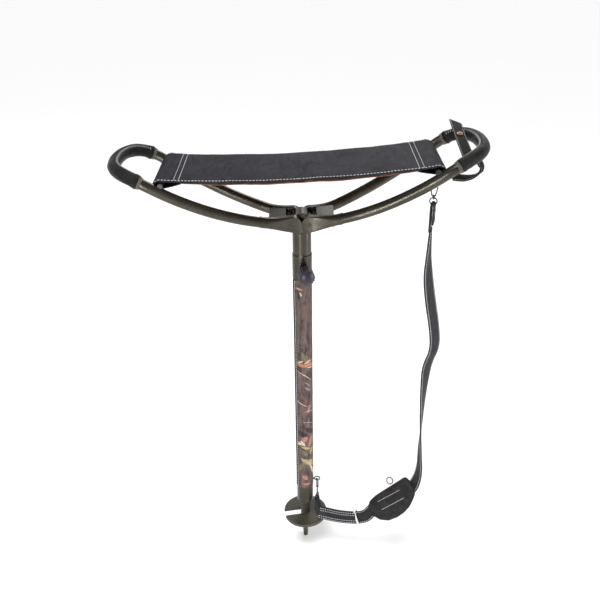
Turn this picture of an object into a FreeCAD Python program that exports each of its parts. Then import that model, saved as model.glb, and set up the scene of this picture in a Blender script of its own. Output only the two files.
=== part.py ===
import FreeCAD, Part
import math
import os

import Sketcher
from FreeCAD import Matrix, Placement, Rotation, Vector

# A folding one-legged seat stick: a telescopic column on a ground spike carries a hub, and two
# hoop handles hinged on the hub hold a leather sling between them.
# Frame: +Z up, X along the seat from handle to handle, Y from the front arms to the rear arms.
# The origin is on the column's axis at the spike's shoulder, which is where the ground is.

doc = FreeCAD.newDocument("seat_stick")
sheet = doc.addObject("Spreadsheet::Sheet", "sizes")

SIZES = (
    ("outer_tube_r", 12.0, "outer column tube, outside radius"),
    ("outer_tube_bore_r", 10.5, "outer column tube, inside radius"),
    ("tube_foot_z", 40.0, "lower end of the outer tube"),
    ("tube_top_z", 475.0, "upper end of the outer tube"),
    ("inner_tube_r", 9.5, "sliding tube, outside radius"),
    ("inner_tube_bore_r", 8.0, "sliding tube, inside radius"),
    ("inner_tube_foot_z", 204.0, "lower end of the sliding tube"),
    ("running_gap", 0.05, "radial clearance of a sliding or turning fit"),
    ("collar_r", 13.8, "clamp collar, outside radius"),
    ("collar_low_z", 445.0, "lower face of the clamp collar"),
    ("collar_top_z", 482.7, "upper face of the clamp collar"),
    ("bush_low_z", 432.0, "lower end of the guide bush"),
    ("sleeve_r", 13.4, "patterned sleeve, outside radius"),
    ("sleeve_low_z", 67.0, "lower edge of the patterned sleeve"),
    ("ferrule_r", 13.1, "foot ferrule, outside radius"),
    ("ferrule_low_z", 34.0, "lower face of the foot ferrule"),
    ("ferrule_top_z", 66.9, "upper edge of the foot ferrule"),
    ("shaft_r", 7.6, "spike, thick part"),
    ("groove_r", 7.0, "spike, groove that the mud disc turns in"),
    ("groove_low_z", 3.4, "lower side of the disc groove"),
    ("groove_top_z", 8.6, "upper side of the disc groove"),
    ("shoulder_z", 0.5, "shoulder above the ground pin"),
    ("pin_r", 4.0, "ground pin radius"),
    ("pin_end_z", -40.0, "end of the ground pin's straight part"),
    ("tip_z", -47.0, "blunt end of the ground pin"),
    ("tip_r", 3.4, "radius of the blunt end"),
    ("disc_r", 35.0, "mud disc radius"),
    ("disc_low_z", 3.5, "underside of the mud disc"),
    ("disc_thick", 5.0, "mud disc thickness"),
    ("disc_bore_r", 7.05, "mud disc bore, and half the width of its slot"),
    ("knob_z", 461.0, "height of the clamp knob's axis"),
    ("knob_turn", 10.0, "degrees that knob and disc slot are turned about the column"),
    ("knob_r", 11.0, "clamp knob radius"),
    ("knob_start", 19.4, "inner face of the knob, from the column's axis"),
    ("knob_length", 18.0, "fluted length of the knob"),
    ("flute_r", 1.7, "radius of the knob's flutes"),
    ("screw_r", 3.0, "clamp screw radius"),
    ("nut_r", 7.0, "clamp nut radius"),
    ("neck_r", 13.0, "hub neck radius"),
    ("neck_low_z", 483.0, "lower face of the hub neck"),
    ("neck_top_z", 515.5, "upper face of the hub neck"),
    ("hinge_z", 533.5, "height of the two hinge pins"),
    ("hinge_x", 10.0, "distance of a hinge pin from the column's axis"),
    ("hinge_r", 3.0, "hinge pin radius"),
    ("lug_half_y", 11.7, "half the thickness of the hub's lug"),
    ("lug_half_x", 11.5, "half the width of the hub's lug between the pin eyes"),
    ("lug_eye_r", 5.4, "radius of the lug's pin eyes"),
    ("lug_top_z", 545.3, "top of the hub's lug"),
    ("yoke_in_y", 12.0, "inner face of a yoke cheek"),
    ("yoke_out_y", 22.0, "outer face of a yoke cheek"),
    ("arm_r", 7.0, "handle tube, outside radius"),
    ("arm_bore_r", 5.5, "handle tube, inside radius"),
    ("grip_r", 8.3, "leather grip, outside radius"),
    ("hoop_z", 625.5, "height of the handle hoops"),
    ("hoop_reach", 235.0, "distance of a hoop's end from the column's axis"),
    ("rock_angle", 2.25, "degrees that the opened seat leans to its left"),
    ("bar_r", 3.5, "sling bar radius"),
    ("bar_x", 171.5, "distance of a sling bar from the column's axis"),
    ("sling_half_y", 56.0, "half the width of the sling"),
    ("sling_half_x", 181.0, "half the length of the sling"),
    ("sling_thick", 3.6, "sling thickness"),
    ("sling_sag", 7.0, "sag of the sling's middle"),
    ("strap_r", 3.75, "radius of the tube that stands for the flat strap"),
    ("wire_r", 0.8, "radius of the small rings' wire"),
    ("eye_z", 77.0, "height of the strap eye on the ferrule side"),
)
for row, (alias, value, note) in enumerate(SIZES, start=1):
    sheet.set("A%d" % row, note)
    sheet.set("B%d" % row, str(value))
    sheet.setAlias("B%d" % row, alias)
doc.recompute()


def size(alias):
    return float(sheet.get(alias))


# ---------------------------------------------------------------- helpers

NODES = []
Z_AXIS = Vector(0, 0, 1)
Y_AXIS = Vector(0, 1, 0)


def new_body(label, exported=True):
    body = doc.addObject("PartDesign::Body", label)
    body.Label = label
    if exported:
        NODES.append(body)
    return body


def new_feature(label, shape, placement=None):
    """A sub-part whose shape is built with Part's own functions."""
    feature = doc.addObject("Part::Feature", label)
    feature.Label = label
    feature.Shape = shape
    if placement is not None:
        feature.Placement = placement
    NODES.append(feature)
    return feature


def new_sketch(body, role, name):
    sketch = body.newObject("Sketcher::SketchObject", name)
    planes = [f for f in body.Origin.OriginFeatures if f.Role == role]
    sketch.AttachmentSupport = [(planes[0], "")]
    sketch.MapMode = "FlatFace"
    return sketch


def bind(sketch, constraint, expression):
    index = sketch.addConstraint(constraint)
    sketch.setExpression("Constraints[%d]" % index, expression)


def evaluate(expression):
    """The present value of an expression over the sheet's aliases."""
    value = sheet.evalExpression(expression)
    return float(getattr(value, "Value", value))


def outline(sketch, corners):
    """A closed polygon. Each corner is a pair of expressions; "0" puts the corner on the axis."""
    points = [Vector(evaluate(u), evaluate(v), 0) for u, v in corners]
    count = len(points)
    for i in range(count):
        sketch.addGeometry(Part.LineSegment(points[i], points[(i + 1) % count]), False)
    for i in range(count):
        sketch.addConstraint(Sketcher.Constraint("Coincident", i, 2, (i + 1) % count, 1))
    for i, (u, v) in enumerate(corners):
        if u == "0":
            sketch.addConstraint(Sketcher.Constraint("PointOnObject", i, 1, -2))
        else:
            bind(sketch, Sketcher.Constraint("DistanceX", -1, 1, i, 1, points[i].x), named(u))
        if v == "0":
            sketch.addConstraint(Sketcher.Constraint("PointOnObject", i, 1, -1))
        else:
            bind(sketch, Sketcher.Constraint("DistanceY", -1, 1, i, 1, points[i].y), named(v))


def named(expression):
    """The expression with the sheet's name before each alias, and in millimetres."""
    words = []
    for word in expression.split():
        words.append("sizes." + word if word[0].isalpha() else word)
    return "(" + " ".join(words) + ") * 1 mm"


def circle(sketch, u, v, radius):
    """A circle whose centre and radius are expressions."""
    centre = Vector(evaluate(u), evaluate(v), 0)
    index = sketch.addGeometry(Part.Circle(centre, Z_AXIS, evaluate(radius)), False)
    if u == "0":
        sketch.addConstraint(Sketcher.Constraint("PointOnObject", index, 3, -2))
    else:
        bind(sketch, Sketcher.Constraint("DistanceX", -1, 1, index, 3, centre.x), named(u))
    if v == "0":
        sketch.addConstraint(Sketcher.Constraint("PointOnObject", index, 3, -1))
    else:
        bind(sketch, Sketcher.Constraint("DistanceY", -1, 1, index, 3, centre.y), named(v))
    bind(sketch, Sketcher.Constraint("Radius", index, evaluate(radius)), named(radius))


def turned(label, corners, placement=None, exported=True):
    """A body of revolution about Z. The corners are (radius, height) pairs of expressions."""
    body = new_body(label, exported)
    sketch = new_sketch(body, "XZ_Plane", label + "_profile")
    outline(sketch, corners)
    turn = body.newObject("PartDesign::Revolution", label + "_turn")
    turn.Profile = sketch
    turn.ReferenceAxis = (sketch, ["V_Axis"])
    turn.Angle = 360.0
    if placement is not None:
        body.Placement = placement
    doc.recompute()
    return body


def pad(body, sketch, name, length, both_ways=False):
    feature = body.newObject("PartDesign::Pad", name)
    feature.Profile = sketch
    feature.setExpression("Length", named(length))
    feature.Midplane = both_ways
    doc.recompute()
    return feature


def pocket_through(body, sketch, name):
    """A cut right through, both ways from the sketch; it must take some material away."""
    before = body.Shape.Volume
    feature = body.newObject("PartDesign::Pocket", name)
    feature.Profile = sketch
    feature.Type = "ThroughAll"
    feature.Midplane = True
    doc.recompute()
    assert body.Shape.Volume < before - 1e-3, name + " cuts nothing"
    return feature


def rod(start, end, radius):
    way = end - start
    return Part.makeCylinder(radius, way.Length, start, way)


def sweep(wire, radius):
    """A round bar along a wire."""
    edge = wire.Edges[0]
    start = edge.valueAt(edge.FirstParameter)
    way = edge.tangentAt(edge.FirstParameter)
    profile = Part.Wire([Part.makeCircle(radius, start, way)])
    return Part.Wire(wire.Edges).makePipeShell([profile], True, False)


def rounded_path(points):
    """Straight runs joined by tangent arcs, each arc as large as its two runs allow."""
    share = 0.45
    edges, radii, last = [], [], points[0]
    for before, here, after in zip(points, points[1:], points[2:]):
        back, ahead = before - here, after - here
        shorter = min(back.Length, ahead.Length)
        back.normalize()
        ahead.normalize()
        half_turn = (math.pi - back.getAngle(ahead)) / 2
        trim = share * shorter
        radius = trim / math.tan(half_turn)
        inward = back + ahead
        inward.normalize()
        entry, leave = here + back * trim, here + ahead * trim
        middle = here + inward * (radius / math.cos(half_turn) - radius)
        edges.append(Part.LineSegment(last, entry).toShape())
        edges.append(Part.Arc(entry, middle, leave).toShape())
        radii.append(radius)
        last = leave
    edges.append(Part.LineSegment(last, points[-1]).toShape())
    return Part.Wire(edges), radii


def cord_tube(label, points, radius):
    """The plain tube of a free strap, compared with its section times its length."""
    wire, radii = rounded_path([Vector(*p) for p in points])
    solid = sweep(wire, radius)
    expected = math.pi * radius**2 * wire.Length
    print(label, "length %.1f mm, radii" % wire.Length, ["%.0f" % r for r in radii])
    print(label, "volume over section times length: %.4f" % (solid.Volume / expected))
    return new_feature(label, solid)


def ring(centre, axis, radius, wire):
    return Part.makeTorus(radius, wire, centre, axis)


# ---------------------------------------------------------------- column and foot

outer_tube_blank = turned("outer_tube_blank", [
    ("outer_tube_bore_r", "tube_foot_z"), ("outer_tube_r", "tube_foot_z"),
    ("outer_tube_r", "tube_top_z"), ("outer_tube_bore_r", "tube_top_z"),
], exported=False)
turned("camo_sleeve", [
    ("outer_tube_r", "sleeve_low_z"), ("sleeve_r", "sleeve_low_z"),
    ("sleeve_r", "collar_low_z"), ("outer_tube_r", "collar_low_z"),
])
collar_blank = turned("clamp_collar_blank", [
    ("outer_tube_r", "collar_low_z"), ("collar_r - 0.6", "collar_low_z"),
    ("collar_r", "collar_low_z + 0.6"), ("collar_r", "collar_top_z - 0.8"),
    ("collar_r - 0.8", "collar_top_z"), ("inner_tube_r + 2 * running_gap", "collar_top_z"),
    ("inner_tube_r + 2 * running_gap", "tube_top_z"), ("outer_tube_r", "tube_top_z"),
], exported=False)
bush_blank = turned("guide_bush_blank", [
    ("inner_tube_r + running_gap", "bush_low_z"), ("outer_tube_bore_r", "bush_low_z"),
    ("outer_tube_bore_r", "tube_top_z"), ("inner_tube_r + running_gap", "tube_top_z"),
], exported=False)
turned("foot_ferrule", [
    ("0", "ferrule_low_z"), ("ferrule_r - 1.5", "ferrule_low_z"),
    ("ferrule_r", "ferrule_low_z + 1.5"), ("ferrule_r", "ferrule_top_z"),
    ("outer_tube_r", "ferrule_top_z"), ("outer_tube_r", "tube_foot_z"),
    ("0", "tube_foot_z"),
])
turned("ground_spike", [
    ("0", "tip_z"), ("tip_r", "tip_z"), ("pin_r", "pin_end_z"), ("pin_r", "shoulder_z"),
    ("shaft_r", "shoulder_z"), ("shaft_r", "groove_low_z"), ("groove_r", "groove_low_z"),
    ("groove_r", "groove_top_z"), ("shaft_r", "groove_top_z"), ("shaft_r", "ferrule_low_z"),
    ("0", "ferrule_low_z"),
])

disc = new_body("mud_disc")
disc_sketch = new_sketch(disc, "XY_Plane", "disc_rim")
circle(disc_sketch, "0", "0", "disc_r")
pad(disc, disc_sketch, "disc_pad", "disc_thick")
bore_sketch = new_sketch(disc, "XY_Plane", "disc_bore")
circle(bore_sketch, "0", "0", "disc_bore_r")
pocket_through(disc, bore_sketch, "disc_bore_cut")
slot_sketch = new_sketch(disc, "XY_Plane", "disc_slot")
outline(slot_sketch, [
    ("0", "0 - disc_bore_r"), ("0", "disc_bore_r"),
    ("0 - disc_r - 5", "disc_bore_r"), ("0 - disc_r - 5", "0 - disc_bore_r"),
])
pocket_through(disc, slot_sketch, "disc_slot_cut")
disc.Placement = Placement(Vector(0, 0, size("disc_low_z")), Rotation(Z_AXIS, size("knob_turn")))

# ---------------------------------------------------------------- clamp knob

KNOB_ANGLE = math.radians(size("knob_turn"))
KNOB_WAY = Vector(math.sin(KNOB_ANGLE), -math.cos(KNOB_ANGLE), 0)
KNOB_BASE = Vector(0, 0, size("knob_z"))
KNOB_PLACE = Placement(KNOB_BASE, Rotation(Z_AXIS, KNOB_WAY))


def along_knob(distance):
    return KNOB_BASE + KNOB_WAY * distance


screw_hole = rod(along_knob(0), along_knob(30), size("screw_r") + size("running_gap"))
new_feature("outer_tube", outer_tube_blank.Shape.cut(screw_hole))
new_feature("clamp_collar", collar_blank.Shape.cut(screw_hole))
new_feature("guide_bush", bush_blank.Shape.cut(screw_hole))

nut_inside = size("collar_r") - 1.0
nut = rod(along_knob(nut_inside), along_knob(size("knob_start") - 0.6), size("nut_r"))
nut = nut.cut(Part.makeCylinder(size("collar_r"), 60, Vector(0, 0, size("knob_z") - 30)))
new_feature("clamp_nut", nut.cut(screw_hole))

turned("clamp_screw", [
    ("0", "inner_tube_r + running_gap"), ("screw_r - 1", "inner_tube_r + running_gap"),
    ("screw_r", "inner_tube_r + 1"), ("screw_r", "knob_start + 12"), ("0", "knob_start + 12"),
], KNOB_PLACE)

knob = new_body("clamp_knob")
knob_sketch = new_sketch(knob, "XY_Plane", "knob_rim")
circle(knob_sketch, "0", "0", "knob_r")
pad(knob, knob_sketch, "knob_pad", "knob_length")
knob_bore = new_sketch(knob, "XY_Plane", "knob_bore")
circle(knob_bore, "0", "0", "screw_r")
pocket_through(knob, knob_bore, "knob_bore_cut")
flute_sketch = new_sketch(knob, "XY_Plane", "knob_flute")
circle(flute_sketch, "knob_r + flute_r * 0.4", "0", "flute_r")
flute = pocket_through(knob, flute_sketch, "knob_flute_cut")
flutes = knob.newObject("PartDesign::PolarPattern", "knob_flutes")
flutes.Originals = [flute]
flutes.Axis = (flute_sketch, ["N_Axis"])
flutes.Angle = 360.0
flutes.Occurrences = 16
knob.Tip = flutes
doc.recompute()
knob.Placement = KNOB_PLACE.multiply(Placement(Vector(0, 0, size("knob_start")), Rotation()))

CAP_RISE = 4.0
cap_base = size("knob_start") + size("knob_length")
cap_r = size("knob_r") - 0.8
dome_r = (cap_r**2 + CAP_RISE**2) / (2 * CAP_RISE)
dome = Part.makeSphere(dome_r, Vector(0, 0, cap_base + CAP_RISE - dome_r))
cap = dome.common(Part.makeCylinder(cap_r, CAP_RISE + 1, Vector(0, 0, cap_base)))
new_feature("knob_cap", cap, KNOB_PLACE)

# ---------------------------------------------------------------- seat post and hub

turned("inner_tube", [
    ("inner_tube_bore_r", "inner_tube_foot_z"), ("inner_tube_r", "inner_tube_foot_z"),
    ("inner_tube_r", "neck_top_z - 4"), ("inner_tube_bore_r", "neck_top_z - 4"),
])
turned("tube_plug", [
    ("0", "inner_tube_foot_z - 8"), ("outer_tube_bore_r - running_gap", "inner_tube_foot_z - 8"),
    ("outer_tube_bore_r - running_gap", "inner_tube_foot_z"),
    ("inner_tube_bore_r", "inner_tube_foot_z"), ("inner_tube_bore_r", "inner_tube_foot_z + 12"),
    ("0", "inner_tube_foot_z + 12"),
])

hinge_z, hinge_x = size("hinge_z"), size("hinge_x")


def across(radius, x, z, half_length):
    """A cylinder along Y through (x, z)."""
    return Part.makeCylinder(radius, 2 * half_length, Vector(x, -half_length, z), Y_AXIS)


def block(x0, x1, y0, y1, z0, z1):
    return Part.makeBox(x1 - x0, y1 - y0, z1 - z0, Vector(x0, y0, z0))


neck = Part.makeCylinder(
    size("neck_r"), size("neck_top_z") - size("neck_low_z"), Vector(0, 0, size("neck_low_z"))
)
neck = neck.cut(Part.makeCylinder(
    size("inner_tube_r"), size("neck_top_z") - 4 - size("neck_low_z"),
    Vector(0, 0, size("neck_low_z")),
))
lug_x, lug_y = size("lug_half_x"), size("lug_half_y")
lug = block(-lug_x, lug_x, -lug_y, lug_y, size("neck_top_z"), size("lug_top_z") - lug_x)
lug = lug.fuse(across(lug_x, 0, size("lug_top_z") - lug_x, lug_y))
for side in (-1, 1):
    lug = lug.fuse(across(size("lug_eye_r"), side * hinge_x, hinge_z, lug_y))
hub = neck.fuse(lug)
for side in (-1, 1):
    hub = hub.cut(across(size("hinge_r"), side * hinge_x, hinge_z, 30))
new_feature("hub", hub.removeSplitter())

PIN_HALF = size("yoke_out_y") - 0.5
new_feature("hinge_pins", Part.makeCompound(
    [across(size("hinge_r"), side * hinge_x, hinge_z, PIN_HALF) for side in (-1, 1)]
))

# ---------------------------------------------------------------- handles

# The arm's centre line passes these stations: distance along X, distance along Y, height.
ARM_STATIONS = ((40.0, 24.0, 538.1), (115.0, 45.5, 566.6), (195.0, 58.6, 614.0))


def through_stations(x, column):
    """The parabola through the arm's three stations."""
    total = 0.0
    for i, here in enumerate(ARM_STATIONS):
        term = here[column]
        for k, other in enumerate(ARM_STATIONS):
            if k != i:
                term *= (x - other[0]) / (here[0] - other[0])
        total += term
    return total


def arm_point(x):
    return Vector(x, through_stations(x, 1), through_stations(x, 2))


HOOP_START_X = 190.0
HOOP_POWER = 2.3


def hoop_point(turn):
    """A point of the hoop: turn runs from 0 at the arm's end to 90 at the hoop's far end."""
    angle = math.radians(turn)
    start = arm_point(HOOP_START_X)
    along = math.sin(angle) ** (2 / HOOP_POWER)
    reach = size("hoop_reach") - HOOP_START_X
    rise = size("hoop_z") - start.z
    # the climb of the arm dies out as the hoop levels off
    level = 1 - (1 - along) ** 2
    return Vector(
        HOOP_START_X + reach * along,
        start.y * math.cos(angle) ** (2 / HOOP_POWER),
        start.z + rise * level,
    )


def mirrored(point, side_x=1, side_y=1):
    return Vector(point.x * side_x, point.y * side_y, point.z)


def spline(points):
    curve = Part.BSplineCurve()
    curve.interpolate(points)
    return Part.Wire([curve.toShape()])


TUBE_ROOT_X = 44.0
ARM_XS = (TUBE_ROOT_X, 80.0, 110.0, 140.0, 165.0)
HOOP_TURNS = (8.0, 25.0, 45.0, 68.0)
half_arm = [arm_point(x) for x in ARM_XS]
half_hoop = [hoop_point(t) for t in HOOP_TURNS]
hoop_end = hoop_point(90.0)
half_line = half_arm + half_hoop
HANDLE_LINE = half_line + [hoop_end] + [mirrored(p, 1, -1) for p in reversed(half_line)]
GRIP_LINE = half_hoop + [hoop_end] + [mirrored(p, 1, -1) for p in reversed(half_hoop)]


def section(x, y, z, width, height, radius):
    """A rounded rectangle across X, as a wire of four lines and four arcs."""
    w, h, r = width / 2, height / 2, radius
    edges = []
    corners = ((w - r, h - r, 0), (r - w, h - r, 90), (r - w, r - h, 180), (w - r, r - h, 270))

    def rim(cy, cz, degrees):
        angle = math.radians(degrees)
        return Vector(x, y + cy + r * math.cos(angle), z + cz + r * math.sin(angle))

    for i, (cy, cz, turn) in enumerate(corners):
        ny, nz, next_turn = corners[(i + 1) % 4]
        edges.append(Part.Arc(
            rim(cy, cz, turn), rim(cy, cz, turn + 45), rim(cy, cz, turn + 90)
        ).toShape())
        edges.append(Part.LineSegment(rim(cy, cz, turn + 90), rim(ny, nz, next_turn)).toShape())
    return Part.Wire(edges)


# Yoke limb: distance along X, centre along Y, bottom, top, width along Y, corner radius.
LIMB_SECTIONS = (
    (0.15, 17.0, 519.5, 544.6, 10.0, 1.2),
    (20.0, 18.4, 523.4, 543.8, 11.0, 2.5),
    (38.0, 23.4, 529.6, 545.4, 13.8, 6.0),
    (54.0, 28.7, 534.6, 550.1, 15.7, 7.4),
)
WEB_START_X, WEB_END_X, WEB_LOW_Z, WEB_TOP_Z = 20.5, 43.0, 526.5, 543.2


def make_yoke():
    """The right-hand yoke: two tapered limbs, a web, pin bores and two tube sockets."""
    parts = []
    for side in (-1, 1):
        wires = [
            section(x, side * y, (low + top) / 2, width, top - low, radius)
            for x, y, low, top, width, radius in LIMB_SECTIONS
        ]
        parts.append(Part.makeLoft(wires, True, False))
    web_y = size("yoke_out_y") - 4
    parts.append(block(WEB_START_X, WEB_END_X, -web_y, web_y, WEB_LOW_Z, WEB_TOP_Z))
    yoke = parts[0].fuse(parts[1:])
    # the inner end is a quarter round about the pin, so that the yoke can swing up
    knuckle_r = hinge_x - 0.15
    corner = block(-1, hinge_x, -30, 30, hinge_z, hinge_z + 40)
    corner = corner.cut(across(knuckle_r, hinge_x, hinge_z, 40))
    beyond = block(-1, hinge_x + 4, -30, 30, hinge_z + knuckle_r + 0.6, hinge_z + 40)
    yoke = yoke.cut(corner).cut(beyond)
    yoke = yoke.cut(block(-1, WEB_START_X, -size("yoke_in_y"), size("yoke_in_y"), 480, 600))
    yoke = yoke.cut(across(size("hinge_r") + size("running_gap"), hinge_x, hinge_z, 40))
    return yoke


right_yoke_shape = make_yoke()
handle_wire = spline(HANDLE_LINE)
solid_handle = sweep(handle_wire, size("arm_r"))
handle_shape = solid_handle.cut(sweep(handle_wire, size("arm_bore_r")))
grip_wire = spline(GRIP_LINE)
grip_shape = sweep(grip_wire, size("grip_r")).cut(sweep(grip_wire, size("arm_r") + 0.05))
right_yoke_shape = right_yoke_shape.cut(solid_handle)

bar_x, bar_r = size("bar_x"), size("bar_r")
bar_saddle = arm_point(bar_x)
BAR_SEAT_RISE = 7.1  # from the arm's centre line up to the bar's underside, which the arm notches
BAR_Z = bar_saddle.z + BAR_SEAT_RISE + bar_r
bar_half = bar_saddle.y + 3.5
bar_shape = across(bar_r, bar_x, BAR_Z, bar_half).cut(solid_handle)
screws = []
for side in (-1, 1):
    foot = Vector(bar_x, side * bar_saddle.y, bar_saddle.z + 4.5)
    screws.append(rod(foot, Vector(foot.x, foot.y, BAR_Z + 1.5), 1.5))
screw_shape = Part.makeCompound(screws)
BINDING_WAY = (half_hoop[1] - half_hoop[0]).normalize()
binding_shapes = []
for side in (-1, 1):
    way = Vector(BINDING_WAY.x, BINDING_WAY.y * side, BINDING_WAY.z)
    at = mirrored(half_hoop[0], 1, side) - way * 1.6
    hoop_ring = Part.makeCylinder(size("grip_r") - 0.2, 1.4, at, way)
    binding_shapes.append(hoop_ring.cut(rod(at - way * 3, at + way * 5, size("arm_r") + 0.1)))
binding_shape = Part.makeCompound(binding_shapes)

MIRROR_X = Matrix(-1, 0, 0, 0, 0, 1, 0, 0, 0, 0, 1, 0, 0, 0, 0, 1)
ROCK = -size("rock_angle")


def rocked(side):
    """The lean of one handle about its own hinge pin."""
    pivot = Vector(side * hinge_x, 0, hinge_z)
    return Placement(Vector(), Rotation(Y_AXIS, ROCK), pivot)


HANDLE_PIECES = (
    ("yoke", right_yoke_shape),
    ("handle_tube", handle_shape),
    ("grip", grip_shape),
    ("grip_bindings", binding_shape),
    ("sling_bar", bar_shape),
    ("bar_screws", screw_shape),
)
for side, side_name in ((-1, "left"), (1, "right")):
    for piece_name, shape in HANDLE_PIECES:
        placed = shape if side == 1 else shape.transformGeometry(MIRROR_X)
        new_feature(side_name + "_" + piece_name, placed, rocked(side))

# ---------------------------------------------------------------- sling

sling_x, sling_y = size("sling_half_x"), size("sling_half_y")
sling_thick = size("sling_thick")
sling_end_z = BAR_Z + bar_r + 1.1
sling_mid_z = sling_end_z - size("sling_sag")
SLING_TAIL_DROP = 0.0


def sling_face(offset):
    """The long profile of one face of the sling: a sagging arc between the bars and two tails."""
    left = Vector(-bar_x, -sling_y, sling_end_z + offset)
    right = Vector(bar_x, -sling_y, sling_end_z + offset)
    tail = Vector(sling_x, -sling_y, sling_end_z - SLING_TAIL_DROP + offset)
    return mirrored(tail, -1), left, Vector(0, -sling_y, sling_mid_z + offset), right, tail


low, high = sling_face(0.0), sling_face(sling_thick)
profile = Part.Wire([
    Part.LineSegment(low[0], low[1]).toShape(),
    Part.Arc(low[1], low[2], low[3]).toShape(),
    Part.LineSegment(low[3], low[4]).toShape(),
    Part.LineSegment(low[4], high[4]).toShape(),
    Part.LineSegment(high[4], high[3]).toShape(),
    Part.Arc(high[3], high[2], high[1]).toShape(),
    Part.LineSegment(high[1], high[0]).toShape(),
    Part.LineSegment(high[0], low[0]).toShape(),
])
sling = Part.Face(profile).extrude(Vector(0, 2 * sling_y, 0))
new_feature("sling_seat", sling, Placement(
    Vector(), Rotation(Y_AXIS, ROCK), Vector(0, 0, hinge_z)
))

# ---------------------------------------------------------------- closing strap on the right hoop

CLOSING_HALF_WIDTH, CLOSING_THICK = 5.5, 1.8
# the closing strap runs over the hand gap from its free tip to the front of the hoop
CLOSING_OVER = ((209, 44, 641), (209, 25, 636), (209.3, 5, 631), (210.5, -11, 625.5), (212, -25, 619.5))
# and its other end hangs in a loop below the hoop, back towards the front arm
CLOSING_UNDER = (
    (225, -27, 612.5), (230, -28, 606), (230, -31, 600), (224, -35, 596),
    (213, -41, 594.5), (200, -47, 596.5), (188, -52.5, 601.5),
)


def band(points, half_width, thickness, wide_way):
    """A flat band of straight stretches, wide along one direction."""
    pieces = []
    wide = Vector(*wide_way).normalize() * half_width
    for a, b in zip(points, points[1:]):
        start, end = Vector(*a), Vector(*b)
        way = end - start
        start, way = start - way * 0.02, way * 1.04
        up = way.cross(wide).normalize() * thickness / 2
        corners = [start - wide - up, start + wide - up, start + wide + up, start - wide + up]
        face = Part.Face(Part.makePolygon(corners + corners[:1]))
        pieces.append(face.extrude(way))
    return pieces[0].fuse(pieces[1:]).removeSplitter()


closing_over = band(CLOSING_OVER, CLOSING_HALF_WIDTH, CLOSING_THICK, (1, 0.1, 0))
closing_under = band(CLOSING_UNDER, CLOSING_HALF_WIDTH, CLOSING_THICK, (0.55, 0.8, 0))
grip_space = sweep(grip_wire, size("grip_r")).fuse(solid_handle)
closing_shape = Part.makeCompound([closing_over.cut(grip_space), closing_under.cut(grip_space)])
new_feature("closing_strap", closing_shape, rocked(1))
STUD_AT = Vector(209.2, 13, 632.9)
new_feature("press_stud", Part.makeCylinder(3.6, 2.2, STUD_AT, Vector(0, -0.24, 1)), rocked(1))

# ---------------------------------------------------------------- strap hardware at the top

BAIL_X, BAIL_Y = 165.0, -54.5
bail_top = 592.0
bail_low = 583.0
wire_r = size("wire_r")
bail_wire, _ = rounded_path([
    Vector(BAIL_X - 4.0, BAIL_Y, bail_top), Vector(BAIL_X - 2.0, BAIL_Y, bail_low),
    Vector(BAIL_X + 2.0, BAIL_Y, bail_low), Vector(BAIL_X + 4.5, BAIL_Y, bail_top + 3),
])
new_feature("strap_bail", sweep(bail_wire, wire_r))
# each ring hangs in the one above, with a hair of air between their wires
SWIVEL_R, SNAP_R = 2.6, 4.6
hang = 2 * wire_r + 0.1
SWIVEL_AT = Vector(BAIL_X, BAIL_Y, bail_low + hang - SWIVEL_R)
new_feature("strap_swivel_ring", ring(SWIVEL_AT, Vector(1, 0, 0), SWIVEL_R, wire_r))
SNAP_AT = Vector(BAIL_X, BAIL_Y, SWIVEL_AT.z - SWIVEL_R + hang - SNAP_R)
new_feature("strap_top_ring", ring(SNAP_AT, Vector(0.25, 1, 0), SNAP_R, wire_r))
HEAD_LOW, HEAD_TOP = 538.0, 573.5
head = block(BAIL_X - 3.0, BAIL_X + 2.0, BAIL_Y - 8.5, BAIL_Y + 8.5, HEAD_LOW, HEAD_TOP)
head = head.cut(ring(SNAP_AT, Vector(0.25, 1, 0), SNAP_R, wire_r + 0.2))
new_feature("strap_head", head)

# ---------------------------------------------------------------- shoulder strap

STRAP_UPPER = [
    (164.5, -53.5, 537.5), (164, -53, 503), (165.5, -52.5, 470), (172, -51.5, 430), (180, -51, 390),
    (183.5, -51, 356), (174, -50.5, 330), (172.5, -50, 296), (172, -49.8, 256), (173, -49, 212),
    (174, -48, 168), (176, -48, 130), (169.5, -44.5, 96),
]
STRAP_LOWER = [
    (106, -37, 41), (99, -34.5, 26.5), (87, -31, 19.3), (72, -29, 18.2), (58, -26, 17.4), (46.5, -23, 17.3),
    (34, -20, 18.7), (23, -17.5, 19.5),
]
cord_tube("strap_upper", STRAP_UPPER, size("strap_r"))
cord_tube("strap_lower", STRAP_LOWER, size("strap_r"))

PAD_TOP, PAD_LOW = Vector(168, -47, 96), Vector(106, -37, 41)
PAD_LENGTH, PAD_WIDTH, PAD_THICK = 88.0, 47.0, 6.0
KEEPER_LENGTH, KEEPER_WIDTH, KEEPER_THICK = 44.0, 18.0, 2.2


def crosswise(along, wanted):
    """The unit vector nearest to the wanted one that is square to a unit vector."""
    return (wanted - along * along.dot(wanted)).normalize()


pad_middle = (PAD_TOP + PAD_LOW) * 0.5
pad_along = (PAD_TOP - PAD_LOW).normalize()
pad_across = crosswise(pad_along, Vector(-0.44, 0.65, 0.62))
pad_normal = pad_along.cross(pad_across)
PAD_PLACE = Placement(pad_middle, Rotation(pad_along, pad_across, pad_normal, "XYZ"))

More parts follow.
